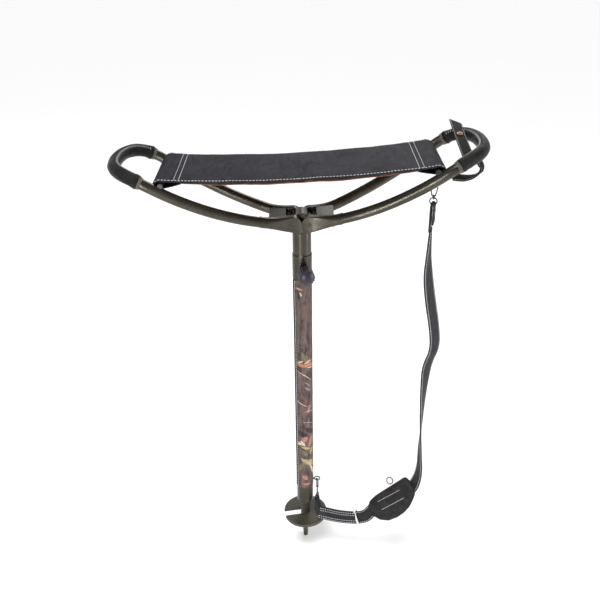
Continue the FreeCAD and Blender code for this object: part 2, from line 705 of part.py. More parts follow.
pad_rim = Part.Ellipse(Vector(0, 0, -PAD_THICK / 2), PAD_LENGTH / 2, PAD_WIDTH / 2)
pad_face = Part.Face(Part.Wire([pad_rim.toShape()]))
new_feature("shoulder_pad", pad_face.extrude(Vector(0, 0, PAD_THICK)), PAD_PLACE)
keeper = Part.makeBox(
    KEEPER_LENGTH, KEEPER_WIDTH, KEEPER_THICK,
    Vector(-KEEPER_LENGTH / 2, -KEEPER_WIDTH / 2, PAD_THICK / 2),
)
new_feature("pad_keeper", keeper, PAD_PLACE)
PAD_RING_R, PAD_RING_WIRE_R = 5.2, 1.1
# the ring goes through the pad's upper edge
pad_ring_at = pad_middle + pad_across * (PAD_WIDTH / 2 + 3.0) + pad_along * 12
new_feature("pad_ring", ring(pad_ring_at, pad_normal, PAD_RING_R, PAD_RING_WIRE_R))

SLIDER_AT = Vector(84, -30.3, 19.3)
SLIDER_THICK, SLIDER_WIDTH, SLIDER_DEPTH = 3.2, 26.0, 9.0
SLIDER_MOUTH_WIDTH, SLIDER_MOUTH_DEPTH = 21.4, 7.6
slider_along = Vector(-0.82, 0.26, -0.5).normalize()
slider_across = crosswise(slider_along, Vector(-0.1, 0.5, 0.86))


def centred_box(thick, width, depth):
    return Part.makeBox(thick, width, depth, Vector(-thick / 2, -width / 2, -depth / 2))


slider_frame = centred_box(SLIDER_THICK, SLIDER_WIDTH, SLIDER_DEPTH)
mouth = centred_box(2 * SLIDER_THICK, SLIDER_MOUTH_WIDTH, SLIDER_MOUTH_DEPTH)
new_feature("strap_slider", slider_frame.cut(mouth), Placement(
    SLIDER_AT, Rotation(slider_along, slider_across, slider_along.cross(slider_across), "XYZ")
))

# ---------------------------------------------------------------- strap hardware at the foot

eye_z = size("eye_z")
foot_r = size("sleeve_r")
EYE_R, EYE_WIRE_R = 4.2, 0.9
eye_at = Vector(foot_r + 6.2, 0, eye_z)
eye_stem = rod(Vector(foot_r, 0, eye_z), Vector(eye_at.x - EYE_R, 0, eye_z), 1.4)
eye = ring(eye_at, Z_AXIS, EYE_R, EYE_WIRE_R).fuse(eye_stem)
new_feature("foot_eye", eye.removeSplitter())

# The snap hook hangs from the eye's front, in a plane that crosses the eye's wire there.
HOOK_WIRE_R, GATE_R, GATE_EYE_R = 1.0, 0.7, 1.2
HOOK_OUT = Vector(0.45, -0.893, 0)
HOOK_AXIS = Vector(0.893, 0.45, 0)
hook_top_z = eye_z + EYE_WIRE_R + HOOK_WIRE_R + 0.3


def in_hook(out, z):
    """A point of the hook's plane: out from the eye's wire, at a height."""
    return Vector(eye_at.x, -EYE_R, z) + HOOK_OUT * out


HOOK_HALF = 2.5
hook_path, _ = rounded_path([
    in_hook(-HOOK_HALF, eye_z - 2.4), in_hook(-HOOK_HALF, hook_top_z),
    in_hook(HOOK_HALF, hook_top_z), in_hook(HOOK_HALF, eye_z - 13),
    in_hook(0.2, eye_z - 19), in_hook(0.2, eye_z - 26),
])
new_feature("foot_hook", sweep(hook_path, HOOK_WIRE_R))
gate_low = in_hook(-1.5, eye_z - 14.5)
gate = rod(gate_low, in_hook(-HOOK_HALF, eye_z - 3.2), GATE_R)
gate_eye = rod(gate_low - HOOK_AXIS * 1.2, gate_low + HOOK_AXIS * 1.2, GATE_EYE_R)
new_feature("foot_hook_gate", gate.fuse(gate_eye).removeSplitter())
print("gate pivot", gate_low)
HOOK_RING_R = 3.2
hook_ring_at = in_hook(0.2, eye_z - 27.5 - HOOK_RING_R)
new_feature("foot_hook_ring", ring(hook_ring_at, Vector(1, -0.6, 0), HOOK_RING_R, HOOK_WIRE_R))
tail_top, tail_low = hook_ring_at - Z_AXIS * 0.6, Vector(26.5, -18.5, 19.3)
tail_along = (tail_low - tail_top).normalize()
tail_across = crosswise(tail_along, Vector(0.93, 0.36, 0))
tail = block(-2, (tail_low - tail_top).Length, -6.5, 8, -1.5, 1.5)
new_feature("strap_tail", tail, Placement(
    tail_top, Rotation(tail_along, tail_across, tail_along.cross(tail_across), "XYZ")
))

# ---------------------------------------------------------------- checks and export

doc.recompute()
for item in doc.Objects:
    for word in ("Invalid", "Error"):
        assert word not in item.State, "%s is %s" % (item.Label, item.State)
for node in NODES:
    shape = node.Shape
    assert not shape.isNull() and shape.isValid(), node.Label + " has a bad shape"
    assert shape.Solids, node.Label + " has no solid"

os.makedirs("parts", exist_ok=True)
for node in NODES:
    node.Shape.exportStep(os.path.join("parts", node.Label + ".step"))
print(len(NODES), "nodes")
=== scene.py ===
import math

import bpy
from mathutils import Matrix, Vector, noise


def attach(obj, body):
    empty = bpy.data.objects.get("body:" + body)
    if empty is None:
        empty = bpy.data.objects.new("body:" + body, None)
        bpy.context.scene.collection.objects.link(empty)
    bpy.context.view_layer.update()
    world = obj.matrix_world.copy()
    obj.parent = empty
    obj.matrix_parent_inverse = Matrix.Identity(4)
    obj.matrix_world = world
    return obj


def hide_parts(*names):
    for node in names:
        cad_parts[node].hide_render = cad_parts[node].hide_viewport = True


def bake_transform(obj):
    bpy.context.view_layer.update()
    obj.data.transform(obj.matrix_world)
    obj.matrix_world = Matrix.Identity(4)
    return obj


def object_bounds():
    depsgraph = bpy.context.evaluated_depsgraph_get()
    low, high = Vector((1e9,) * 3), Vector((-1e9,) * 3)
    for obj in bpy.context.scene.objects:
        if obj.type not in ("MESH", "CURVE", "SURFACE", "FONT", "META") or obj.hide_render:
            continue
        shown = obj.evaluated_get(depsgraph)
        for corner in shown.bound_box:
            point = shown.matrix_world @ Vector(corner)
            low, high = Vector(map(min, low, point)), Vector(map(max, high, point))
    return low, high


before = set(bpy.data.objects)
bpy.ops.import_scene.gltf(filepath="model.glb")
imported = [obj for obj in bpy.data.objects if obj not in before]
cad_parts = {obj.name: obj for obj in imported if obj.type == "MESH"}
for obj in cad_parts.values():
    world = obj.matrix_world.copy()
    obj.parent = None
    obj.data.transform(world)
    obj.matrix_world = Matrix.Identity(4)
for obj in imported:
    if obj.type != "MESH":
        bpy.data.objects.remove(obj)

CAD_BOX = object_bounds()
MM = 0.001

# ------------------ camera, light and floor

CAMERA_AT = Vector((-0.0038, -0.960, 0.938))
CAMERA_PITCH, CAMERA_ROLL = math.radians(61.1), math.radians(-0.86)
FOCAL_SHARE = 1.288  # focal length over the frame's width


def new_object(name, data):
    made = bpy.data.objects.new(name, data)
    bpy.context.scene.collection.objects.link(made)
    return made


def add_camera():
    data = bpy.data.cameras.new("camera")
    data.sensor_width = 36.0
    data.lens = FOCAL_SHARE * data.sensor_width
    camera = new_object("camera", data)
    turn = Matrix.Rotation(CAMERA_PITCH, 4, "X") @ Matrix.Rotation(CAMERA_ROLL, 4, "Z")
    camera.matrix_world = Matrix.Translation(CAMERA_AT) @ turn
    bpy.context.scene.camera = camera


def add_area_light(name, place, target, width, power):
    data = bpy.data.lights.new(name, "AREA")
    data.size, data.energy = width, power
    light = new_object(name, data)
    way = Vector(target) - Vector(place)
    turn = way.to_track_quat("-Z", "Y").to_matrix().to_4x4()
    light.matrix_world = Matrix.Translation(place) @ turn


def add_strip(name, place, target, width, height, power):
    add_area_light(name, place, target, width, power)
    data = bpy.data.lights[name]
    data.shape, data.size_y = "RECTANGLE", height


def add_sky():
    """A soft overhead sun."""
    data = bpy.data.lights.new("sky", "SUN")
    data.energy, data.angle = 2.3, math.radians(35)
    new_object("sky", data).rotation_euler = (math.radians(14), math.radians(-10), 0)


def add_world():
    """A white band round the horizon under a dimmer studio ceiling."""
    world = bpy.data.worlds.new("studio")
    world.use_nodes = True
    nodes, links = world.node_tree.nodes, world.node_tree.links
    background = nodes["Background"]
    background.inputs["Strength"].default_value = 1.0
    direction = nodes.new("ShaderNodeTexCoord")
    height = nodes.new("ShaderNodeSeparateXYZ")
    ramp = nodes.new("ShaderNodeValToRGB")
    for element, (level, grey) in zip(ramp.color_ramp.elements, ((0.16, 0.97), (0.42, 0.24))):
        element.position = level
        element.color = (grey, grey, grey, 1)
    links.new(direction.outputs["Generated"], height.inputs[0])
    links.new(height.outputs["Z"], ramp.inputs[0])
    links.new(ramp.outputs[0], background.inputs["Color"])
    bpy.context.scene.world = world


LIGHT_TARGET = (0, 0, 0.4)
add_camera()
add_strip("left_strip", (-0.62, -1.5, 0.45), LIGHT_TARGET, 0.045, 1.1, 17)
add_strip("right_strip", (1.5, -0.55, 0.45), LIGHT_TARGET, 0.045, 1.1, 17)
add_area_light("rear", (0.3, 1.3, 1.5), (0, 0, 0.5), 0.5, 9)
add_area_light("top", (-0.4, -0.5, 2.0), (0, 0, 0.5), 0.6, 7)
add_sky()
add_world()
bpy.context.scene.view_settings.view_transform = "Standard"


# ------------------ material helpers


class Paint:
    """A node material: each call adds a node and returns the output to link on."""

    def __init__(self, name):
        self.material = bpy.data.materials.new(name)
        self.material.use_nodes = True
        self.tree = self.material.node_tree
        self.shader = self.tree.nodes["Principled BSDF"]

    def link(self, value, socket):
        if isinstance(value, bpy.types.NodeSocket):
            self.tree.links.new(value, socket)
        elif isinstance(value, (tuple, list)) and len(value) == 3 and socket.type == "RGBA":
            socket.default_value = (*value, 1)
        else:
            socket.default_value = value

    def node(self, kind, inputs=(), out=0, **settings):
        made = self.tree.nodes.new(kind)
        for key, value in settings.items():
            setattr(made, key, value)
        for key, value in dict(inputs).items():
            self.link(value, made.inputs[key])
        return made.outputs[out]

    def math(self, operation, a, b=0.0, c=0.0, clamp=False):
        made = self.tree.nodes.new("ShaderNodeMath")
        made.operation, made.use_clamp = operation, clamp
        for socket, value in zip(made.inputs, (a, b, c)):
            self.link(value, socket)
        return made.outputs[0]

    def scaled(self, value, times, plus):
        return self.math("ADD", self.math("MULTIPLY", value, times), plus)

    def place(self, scale=(1, 1, 1)):
        """The point's own coordinates in metres, times scale."""
        coordinates = self.node("ShaderNodeTexCoord", out="Object")
        return self.node("ShaderNodeMapping", {"Vector": coordinates, "Scale": scale})

    def uv(self):
        return self.node("ShaderNodeTexCoord", out="UV")

    def noise(self, vector, scale, detail=4.0, rough=0.55, distortion=0.0):
        values = {"Vector": vector, "Scale": scale, "Detail": detail}
        values.update({"Roughness": rough, "Distortion": distortion})
        return self.node("ShaderNodeTexNoise", values)

    def cells(self, vector, scale, out="Distance", feature="F1", randomness=1.0):
        values = {"Vector": vector, "Scale": scale, "Randomness": randomness}
        return self.node("ShaderNodeTexVoronoi", values, out=out, feature=feature)

    def ramp(self, value, stops):
        made = self.tree.nodes.new("ShaderNodeValToRGB")
        elements = made.color_ramp.elements
        while len(elements) < len(stops):
            elements.new(0.5)
        for element, (at, colour) in zip(elements, stops):
            element.position = at
            if not isinstance(colour, (tuple, list)):
                colour = (colour, colour, colour)
            element.color = (*colour, 1)
        self.link(value, made.inputs[0])
        return made.outputs[0]

    def mix(self, factor, a, b, blend="MIX"):
        made = self.tree.nodes.new("ShaderNodeMix")
        made.data_type, made.blend_type = "RGBA", blend
        self.link(factor, made.inputs[0])
        self.link(a, made.inputs[6])
        self.link(b, made.inputs[7])
        return made.outputs[2]

    def bump(self, height, distance, strength=1.0, normal=None):
        values = {"Height": height, "Distance": distance, "Strength": strength}
        if normal is not None:
            values["Normal"] = normal
        return self.node("ShaderNodeBump", values)

    def finish(self, **sockets):
        names = {
            "color": "Base Color", "rough": "Roughness", "metal": "Metallic", "normal": "Normal",
            "spec": "Specular IOR Level", "coat": "Coat Weight", "coat_rough": "Coat Roughness",
            "sheen": "Sheen Weight", "sheen_rough": "Sheen Roughness",
        }
        for key, value in sockets.items():
            self.link(value, self.shader.inputs[names[key]])
        return self.material


def painted_metal(name, dark, light, rough=0.27, metal=0.85):
    """Satin bronze paint with a fine orange-peel, dust speckle and rubbed lighter patches."""
    p = Paint(name)
    at = p.place()
    cloud = p.noise(at, 28.0, 5.0)
    speck = p.noise(at, 900.0, 2.0)
    base = p.mix(p.ramp(cloud, ((0.3, 0.0), (0.72, 1.0))), dark, light)
    scuff = p.ramp(p.noise(p.place((1, 1, 0.3)), 240.0, 6.0, 0.7), ((0.6, 0.0), (0.74, 0.5)))
    base = p.mix(scuff, base, tuple(min(1.0, c * 1.5) for c in light))
    peel = p.bump(p.noise(at, 700.0, 2.0), 0.00012, 0.5)
    grit = p.bump(speck, 0.00006, 0.6, peel)
    shine = p.scaled(cloud, 0.16, rough - 0.08)
    return p.finish(color=base, rough=shine, metal=metal, normal=grit, spec=0.5)


def leather(name, dark, light, rough=0.55, grain=1400.0, crease=0.35, spec=0.12):
    """Grained leather: pebbles, pores, long creases and scuffs, with painted shade in the grooves between
    pebbles.
    """
    p = Paint(name)
    at = p.place()
    pebble = p.cells(at, grain, feature="DISTANCE_TO_EDGE")
    pores = p.noise(at, grain * 1.7, 3.0)
    folds = p.noise(p.place((1.0, 0.35, 1.0)), 70.0, 5.0, 0.6, 1.4)
    scuff = p.noise(at, 210.0, 6.0, 0.7)
    base = p.mix(p.ramp(folds, ((0.3, 0.0), (0.7, 1.0))), dark, light)
    base = p.mix(p.ramp(scuff, ((0.58, 0.0), (0.75, 0.5))), base, tuple(c * 1.9 for c in light))
    # painted shade: the colour darkens along the cell edges, the grooves between pebbles where the relief
    # is lowest
    base = p.mix(p.ramp(pebble, ((0.0, 0.55), (0.12, 0.0))), base, tuple(c * 0.35 for c in dark))
    relief = p.bump(p.ramp(pebble, ((0.0, 0.0), (0.16, 1.0))), 0.00016, 0.7)
    relief = p.bump(pores, 0.00007, 0.6, relief)
    relief = p.bump(folds, 0.0022, crease, relief)
    shine = p.scaled(scuff, 0.3, rough - 0.15)
    return p.finish(color=base, rough=shine, normal=relief, spec=spec)


def thread(name, colour):
    """Twisted thread: fine diagonal plies, with painted shade in the grooves between them."""
    p = Paint(name)
    at = p.place()
    twist = p.node("ShaderNodeTexWave", {"Vector": at, "Scale": 900.0, "Distortion": 3.0},
                   out="Fac", bands_direction="DIAGONAL")
    # painted shade: the colour darkens where the twist's relief is low, in the grooves between plies
    base = p.mix(twist, tuple(c * 0.62 for c in colour), colour)
    return p.finish(color=base, rough=0.8, normal=p.bump(twist, 0.0001, 0.6), sheen=0.2)


def bare_metal(name, colour, rough=0.22, scratch=0.5):
    """Plated steel with fine scratches and slight tarnish."""
    p = Paint(name)
    at = p.place((1.0, 1.0, 6.0))
    lines = p.noise(at, 500.0, 4.0, 0.6)
    tarnish = p.noise(p.place(), 140.0, 4.0)
    base = p.mix(p.ramp(tarnish, ((0.4, 0.0), (0.8, 0.7))), colour, tuple(c * 0.55 for c in colour))
    shine = p.scaled(lines, 0.2, rough - 0.05)
    return p.finish(color=base, rough=shine, metal=1.0, normal=p.bump(lines, 0.00003, scratch))


def plastic(name, colour, rough=0.3, grain=600.0):
    """Moulded plastic with a fine grain and handling marks."""
    p = Paint(name)
    at = p.place()
    marks = p.noise(at, 90.0, 4.0)
    fine = p.noise(at, grain, 2.0)
    base = p.mix(p.ramp(marks, ((0.35, 0.0), (0.8, 0.8))), colour, tuple(c * 1.7 for c in colour))
    shine = p.scaled(marks, 0.25, rough - 0.08)
    return p.finish(color=base, rough=shine, normal=p.bump(fine, 0.00005, 0.5), spec=0.3)


BRONZE = painted_metal("bronze_satin", (0.042, 0.038, 0.030), (0.066, 0.060, 0.048))
FOOT_PAINT = painted_metal("foot_satin", (0.034, 0.031, 0.022), (0.062, 0.057, 0.040), 0.5, 0.4)
BLACK_LEATHER = leather("black_leather", (0.010, 0.010, 0.012), (0.026, 0.025, 0.030))
SLING_LEATHER = leather(
    "sling_leather", (0.009, 0.0085, 0.011), (0.030, 0.027, 0.036), 0.62, 1600.0, 0.6, 0.1,
)
GRIP_LEATHER = leather(
    "grip_leather", (0.004, 0.0038, 0.004), (0.013, 0.0125, 0.013), 0.40, 1100.0, 0.9, 0.12,
)
PAD_LEATHER = leather("pad_leather", (0.009, 0.0085, 0.009), (0.026, 0.024, 0.026), 0.5, 1300.0, 0.8)
EDGE_TAPE = leather("edge_tape", (0.006, 0.006, 0.007), (0.016, 0.016, 0.018), 0.6, 1800.0)
WHITE_THREAD = thread("white_thread", (0.78, 0.78, 0.76))
LACE_THREAD = thread("lace_thread", (0.42, 0.41, 0.39))
DARK_THREAD = thread("binding_cord", (0.085, 0.08, 0.062))
BLACK_WIRE = painted_metal("black_wire", (0.010, 0.010, 0.011), (0.020, 0.020, 0.021), 0.4, 0.3)
BRIGHT_STEEL = bare_metal("bright_steel", (0.85, 0.84, 0.80), 0.16)
RING_STEEL = bare_metal("ring_steel", (0.23, 0.205, 0.19), 0.26)
PLAIN_STEEL = bare_metal("plain_steel", (0.36, 0.35, 0.33), 0.3)
COPPER = bare_metal("copper_stud", (0.30, 0.17, 0.12), 0.3)
KNOB_PLASTIC = plastic("knob_plastic", (0.016, 0.013, 0.022))
NYLON = plastic("nylon", (0.030, 0.030, 0.030), 0.5)


# ------------------ woodland print

BARK_DARK, BARK_LIGHT = (0.030, 0.022, 0.021), (0.165, 0.130, 0.122)
PRINT_COLOURS = {
    "orange": (0.48, 0.20, 0.10), "rust": (0.155, 0.075, 0.058), "cream": (0.70, 0.56, 0.38),
    "olive": (0.17, 0.145, 0.070), "straw": (0.47, 0.38, 0.17), "night": (0.012, 0.010, 0.020),
    "rose": (0.42, 0.21, 0.17), "grey": (0.27, 0.24, 0.24),
}
# each leaf: across and along the cloth in millimetres, half length, half width, lean, colour
SLEEVE_LEAVES = (
    (7, 432, 6, 2.2, 70, "orange"), (9, 424, 4, 1.6, 20, "cream"), (40, 420, 13, 6, 30, "rust"),
    (60, 400, 15, 7, -40, "olive"), (24, 352, 12, 2.5, 8, "rust"), (50, 350, 16, 8, 60, "orange"),
    (70, 330, 12, 5, 20, "grey"), (13, 318, 9, 5, 15, "olive"), (4, 308, 10, 4.5, 60, "rust"),
    (10, 305, 11, 3.6, 78, "orange"), (20, 308, 9, 3.4, -55, "orange"), (26, 303, 9, 3.6, 70, "rose"),
    (18, 311, 7, 1.5, -60, "cream"), (22, 300, 6, 1.4, 75, "cream"), (7, 311, 5, 1.6, -70, "cream"),
    (45, 300, 14, 6, -30, "straw"), (62, 280, 12, 6, 35, "orange"), (12, 246, 11, 3.5, 30, "rust"),
    (20, 225, 10, 2.6, -14, "rose"), (5, 205, 9, 3, 12, "rust"), (18, 262, 7, 2.2, 48, "grey"),
    (40, 240, 15, 7, 70, "olive"), (58, 220, 13, 6, 10, "rust"), (70, 235, 10, 5, -30, "cream"),
    (8, 178, 13, 5, 62, "night"), (22, 182, 15, 4.6, 48, "night"), (12, 167, 8, 5.5, -35, "rose"),
    (23, 163, 15, 5, -18, "rose"), (1, 158, 8, 4.2, 85, "cream"), (9, 159, 6.5, 3.6, 35, "cream"),
    (14, 150, 9, 3, 70, "straw"), (12, 140, 9, 4.5, 40, "olive"), (24, 143, 8, 3.4, -20, "straw"),
    (15, 122, 13, 5, 55, "straw"), (24, 118, 9, 4, 22, "straw"), (7, 113, 13, 5, -25, "olive"),
    (26, 102, 16, 3, 22, "cream"), (12, 90, 8, 5, 40, "rose"), (20, 82, 8, 4.5, -35, "rust"),
    (15, 76, 7, 3, 80, "orange"), (5, 97, 10, 4, 75, "rust"), (44, 160, 18, 9, 30, "orange"),
    (60, 130, 16, 8, -35, "olive"), (48, 95, 16, 8, 60, "straw"), (70, 90, 14, 6, 10, "rust"),
    (68, 170, 12, 6, -60, "straw"),
)
# each twig: across and along in millimetres, half length, bow, lean, half width
SLEEVE_TWIGS = (
    (12, 284, 19, 0.18, 52, 0.55), (9, 241, 19, -0.30, 54, 0.6), (22, 219, 13, 0.10, 84, 0.5),
    (3, 432, 9, 0.05, 88, 0.4), (17, 270, 7, 0.2, 40, 0.35), (50, 380, 24, 0.2, 30, 0.6),
    (66, 310, 26, -0.2, 20, 0.6), (48, 265, 22, 0.25, -50, 0.5), (60, 195, 20, 0.2, 62, 0.6),
    (20, 110, 18, 0.15, 25, 0.5), (32, 330, 16, 0.2, -15, 0.4), (18, 196, 12, 0.3, 70, 0.35),
)
LINING_LEAVES = tuple(
    (x, y, 15, 7, (x * 7 + y * 3) % 180, colour)
    for (x, y), colour in zip(
        ((8, 12), (36, 22), (64, 9), (92, 26), (20, 44), (52, 50), (80, 58), (104, 48), (10, 78),
         (40, 84), (70, 92), (98, 84), (22, 112), (56, 122), (88, 118), (12, 142), (46, 148),
         (78, 150), (104, 140)),
        ("orange", "rose", "rust", "straw", "olive", "orange", "rose", "cream", "rust", "orange",
         "straw", "rose", "orange", "night", "rust", "rose", "straw", "orange", "olive"),
    )
)


def own_coordinates(p, cloth, across, along, lean, width, length):
    """x and y of the cloth as one leaf or twig has them, from -1 to 1 over it."""
    local = p.node("ShaderNodeMapping", {
        "Vector": cloth, "Location": (across, along, 0), "Rotation": (0, 0, math.radians(lean)),
        "Scale": (width, length, 1),
    }, vector_type="TEXTURE")
    return [p.node("ShaderNodeSeparateXYZ", {"Vector": local}, out=axis) for axis in ("X", "Y")]


def leaf_mask(p, cloth, wobble, leaf):
    """1 inside a pointed leaf, 0 outside, with a torn edge; and the leaf's own midrib."""
    across, along, half_length, half_width, lean, colour = leaf
    x, y = own_coordinates(p, cloth, across, along, lean, half_width, half_length)
    side = p.math("ABSOLUTE", x)
    reach = p.math("ADD", p.math("MULTIPLY_ADD", y, y, side), wobble)
    mask = p.math("MULTIPLY", p.math("SUBTRACT", 1.0, reach), 3.5, clamp=True)
    rib = p.math("SUBTRACT", 1.0, p.math("MULTIPLY", side, 9.0), clamp=True)
    return mask, rib


def twig_mask(p, cloth, wobble, twig):
    """1 on a thin bowed twig that tapers to its ends."""
    across, along, half_length, bow, lean, half_width = twig
    x, y = own_coordinates(p, cloth, across, along, lean, half_length, half_length)
    room = p.math("SUBTRACT", 1.0, p.math("MULTIPLY", y, y), clamp=True)
    middle = p.math("MULTIPLY_ADD", room, bow, p.math("MULTIPLY", wobble, 0.12))
    off = p.math("ABSOLUTE", p.math("SUBTRACT", x, middle))
    thick = p.math("MULTIPLY", room, half_width / half_length)
    return p.math("MULTIPLY", p.math("SUBTRACT", thick, off), 60.0, clamp=True)


def printed_cloth(name, leaves, twigs, ground=(BARK_DARK, BARK_LIGHT)):
    """Woven cloth with a generic print of bark, fallen leaves and twigs, and painted shade in the weave.
    """
    p = Paint(name)
    cloth = p.node("ShaderNodeMapping", {"Vector": p.uv(), "Scale": (1000, 1000, 1000)})
    bark_at = p.node("ShaderNodeMapping", {"Vector": p.uv(), "Scale": (1000, 240, 1000)})
    ridges = p.noise(bark_at, 0.17, 6.0, 0.68, 0.7)
    patches = p.noise(cloth, 0.035, 3.0)
    crumbs = p.noise(cloth, 0.8, 5.0, 0.75)
    colour = p.mix(p.ramp(ridges, ((0.36, 0.0), (0.5, 0.45), (0.66, 1.0))), *ground)
    brown = p.mix(0.6, ground[1], PRINT_COLOURS["rust"])
    colour = p.mix(p.ramp(patches, ((0.48, 0.0), (0.68, 0.65))), colour, brown)
    wobble = p.math("MULTIPLY", p.math("SUBTRACT", p.noise(cloth, 0.38, 6.0, 0.78), 0.5), 2.3)
    shade = p.ramp(crumbs, ((0.33, 0.22), (0.64, 1.3)))
    for leaf in leaves:
        mask, rib = leaf_mask(p, cloth, wobble, leaf)
        tint = PRINT_COLOURS[leaf[5]]
        veined = p.mix(rib, tint, tuple(min(1.0, c * 1.5 + 0.03) for c in tint))
        colour = p.mix(p.math("MULTIPLY", mask, 0.7), colour, veined)
    colour = p.mix(0.85, colour, shade, "MULTIPLY")
    for twig in twigs:
        colour = p.mix(twig_mask(p, cloth, wobble, twig), colour, (0.62, 0.50, 0.44))
    waves = [
        p.node("ShaderNodeTexWave", {"Vector": cloth, "Scale": 0.55}, out="Fac", bands_direction=way)
        for way in ("X", "Y")
    ]
    weave = p.math("MULTIPLY", waves[0], waves[1])
    # painted shade and highlight: the weave darkens the colour in its gaps and lightens it on its
    # crossings, as its bump does
    colour = p.mix(0.18, colour, p.ramp(weave, ((0.0, 0.5), (1.0, 1.4))), "MULTIPLY")
    relief = p.bump(weave, 0.00012, 0.6, p.bump(p.noise(cloth, 0.05, 3.0), 0.0006, 0.35))
    return p.finish(color=colour, rough=0.78, normal=relief, spec=0.2)


def strap_leather(name, dark, light):
    """Split leather strap: fine grain with painted shade in its grooves, lengthways streaks and cracked,
    rubbed patches.
    """
    p = Paint(name)
    strip = p.node("ShaderNodeMapping", {"Vector": p.uv(), "Scale": (1000, 220, 1000)})
    at = p.place()
    streaks = p.noise(strip, 0.35, 5.0, 0.6)
    grain = p.cells(at, 1500.0, feature="DISTANCE_TO_EDGE")
    rub = p.noise(at, 120.0, 5.0, 0.65)
    base = p.mix(p.ramp(streaks, ((0.3, 0.0), (0.7, 1.0))), dark, light)
    base = p.mix(p.ramp(rub, ((0.55, 0.0), (0.78, 0.55))), base, tuple(c * 1.8 for c in light))
    # painted shade: the colour darkens along the cell edges, the grooves of the grain where the relief is
    # lowest
    base = p.mix(p.ramp(grain, ((0.0, 0.5), (0.12, 0.0))), base, tuple(c * 0.4 for c in dark))
    relief = p.bump(p.ramp(grain, ((0.0, 0.0), (0.2, 1.0))), 0.00012, 0.7)
    relief = p.bump(streaks, 0.0005, 0.4, relief)
    shine = p.scaled(rub, 0.3, 0.42)
    return p.finish(color=base, rough=shine, normal=relief, spec=0.12)


CAMO_CLOTH = printed_cloth("camo_cloth", SLEEVE_LEAVES, SLEEVE_TWIGS)
LINING_GROUND = ((0.10, 0.05, 0.035), (0.34, 0.19, 0.12))
CAMO_LINING = printed_cloth("camo_lining", LINING_LEAVES, (), LINING_GROUND)
STRAP_LEATHER = strap_leather("strap_leather", (0.009, 0.009, 0.011), (0.028, 0.028, 0.033))
CLOSING_LEATHER = strap_leather("closing_leather", (0.004, 0.0035, 0.003), (0.012, 0.0105, 0.008))

CAD_FINISHES = (
    (BRONZE, ("outer_tube", "clamp_collar", "clamp_nut", "foot_ferrule", "hub", "hinge_pins", "left_yoke",
              "right_yoke", "left_handle_tube", "right_handle_tube")),
    (FOOT_PAINT, ("mud_disc", "ground_spike")),
    (NYLON, ("guide_bush", "tube_plug")),
    (PLAIN_STEEL, ("inner_tube", "clamp_screw")),
    # the sling bars take this black finish as painted shade: their ends at the pocket mouths show as dark
    # as the shade inside the pockets
    (BLACK_WIRE, ("left_sling_bar", "right_sling_bar", "left_bar_screws", "right_bar_screws", "foot_eye",
                  "foot_hook", "foot_hook_ring", "foot_hook_gate", "strap_bail", "strap_swivel_ring",
                  "strap_top_ring")),
    (RING_STEEL, ("pad_ring",)),
    (BRIGHT_STEEL, ("strap_slider",)),
    (COPPER, ("press_stud",)),
    (KNOB_PLASTIC, ("clamp_knob", "knob_cap")),
)
for finish, node_names in CAD_FINISHES:
    for node_name in node_names:
        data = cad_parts[node_name].data
        data.materials.clear()
        data.materials.append(finish)

# ------------------ seat geometry, as the CAD has it

HINGE_X, HINGE_Z = 10.0, 533.5
ROCK = math.radians(2.25)
ARM_STATIONS = ((40.0, 24.0, 538.1), (115.0, 45.5, 566.6), (195.0, 58.6, 614.0))
HOOP_START_X, HOOP_REACH, HOOP_HEIGHT, HOOP_POWER = 190.0, 235.0, 625.5, 2.3
BAR_X, BAR_Z, BAR_R = 171.5, 608.85, 3.5


def through_stations(x, column):
    """The parabola through the arm's three stations."""
    total = 0.0
    for i, here in enumerate(ARM_STATIONS):
        term = here[column]
        for k, other in enumerate(ARM_STATIONS):
            if k != i:
                term *= (x - other[0]) / (here[0] - other[0])
        total += term
    return total


def hoop_point(turn):
    """The hoop's centre line, in millimetres: turn goes from 0 at the front arm to 180 at the rear."""
    angle = math.radians(turn)
    start_y = through_stations(HOOP_START_X, 1)
    start_z = through_stations(HOOP_START_X, 2)
    along = abs(math.sin(angle)) ** (2 / HOOP_POWER)
    across = math.copysign(abs(math.cos(angle)) ** (2 / HOOP_POWER), math.cos(angle))
    level = 1 - (1 - along) ** 2
    x = HOOP_START_X + (HOOP_REACH - HOOP_START_X) * along
    return Vector((x, -start_y * across, start_z + (HOOP_HEIGHT - start_z) * level))


def rocked(side):
    """The seat's lean to its left: side -1 or 1 is a handle about its pin, and 0 is the sling."""
    pivot = Matrix.Translation((side * HINGE_X, 0, HINGE_Z))
    return pivot @ Matrix.Rotation(-ROCK, 4, "Y") @ pivot.inverted()


# ------------------ mesh helpers

STITCH_PITCH, STITCH_R = 3.8, 0.34
UP = Vector((0, 0, 1))


def squared(wanted, way):
    """The unit vector nearest to the wanted one that is square to way."""
    return (wanted - way * wanted.dot(way)).normalized()


def way_along(points, i):
    """The direction of a line of points at its point i."""
    return (points[min(i + 1, len(points) - 1)] - points[max(i - 1, 0)]).normalized()


def circle(at, wide, up, radius, sides):
    """A ring of points round at, in the plane of wide and up."""
    turns = (math.tau * k / sides for k in range(sides))
    return [at + (wide * math.cos(t) + up * math.sin(t)) * radius for t in turns]


def running_lengths(points):
    """How far along the line each of its points is."""
    lengths = [0.0]
    for a, b in zip(points, points[1:]):
        lengths.append(lengths[-1] + (b - a).length)
    return lengths


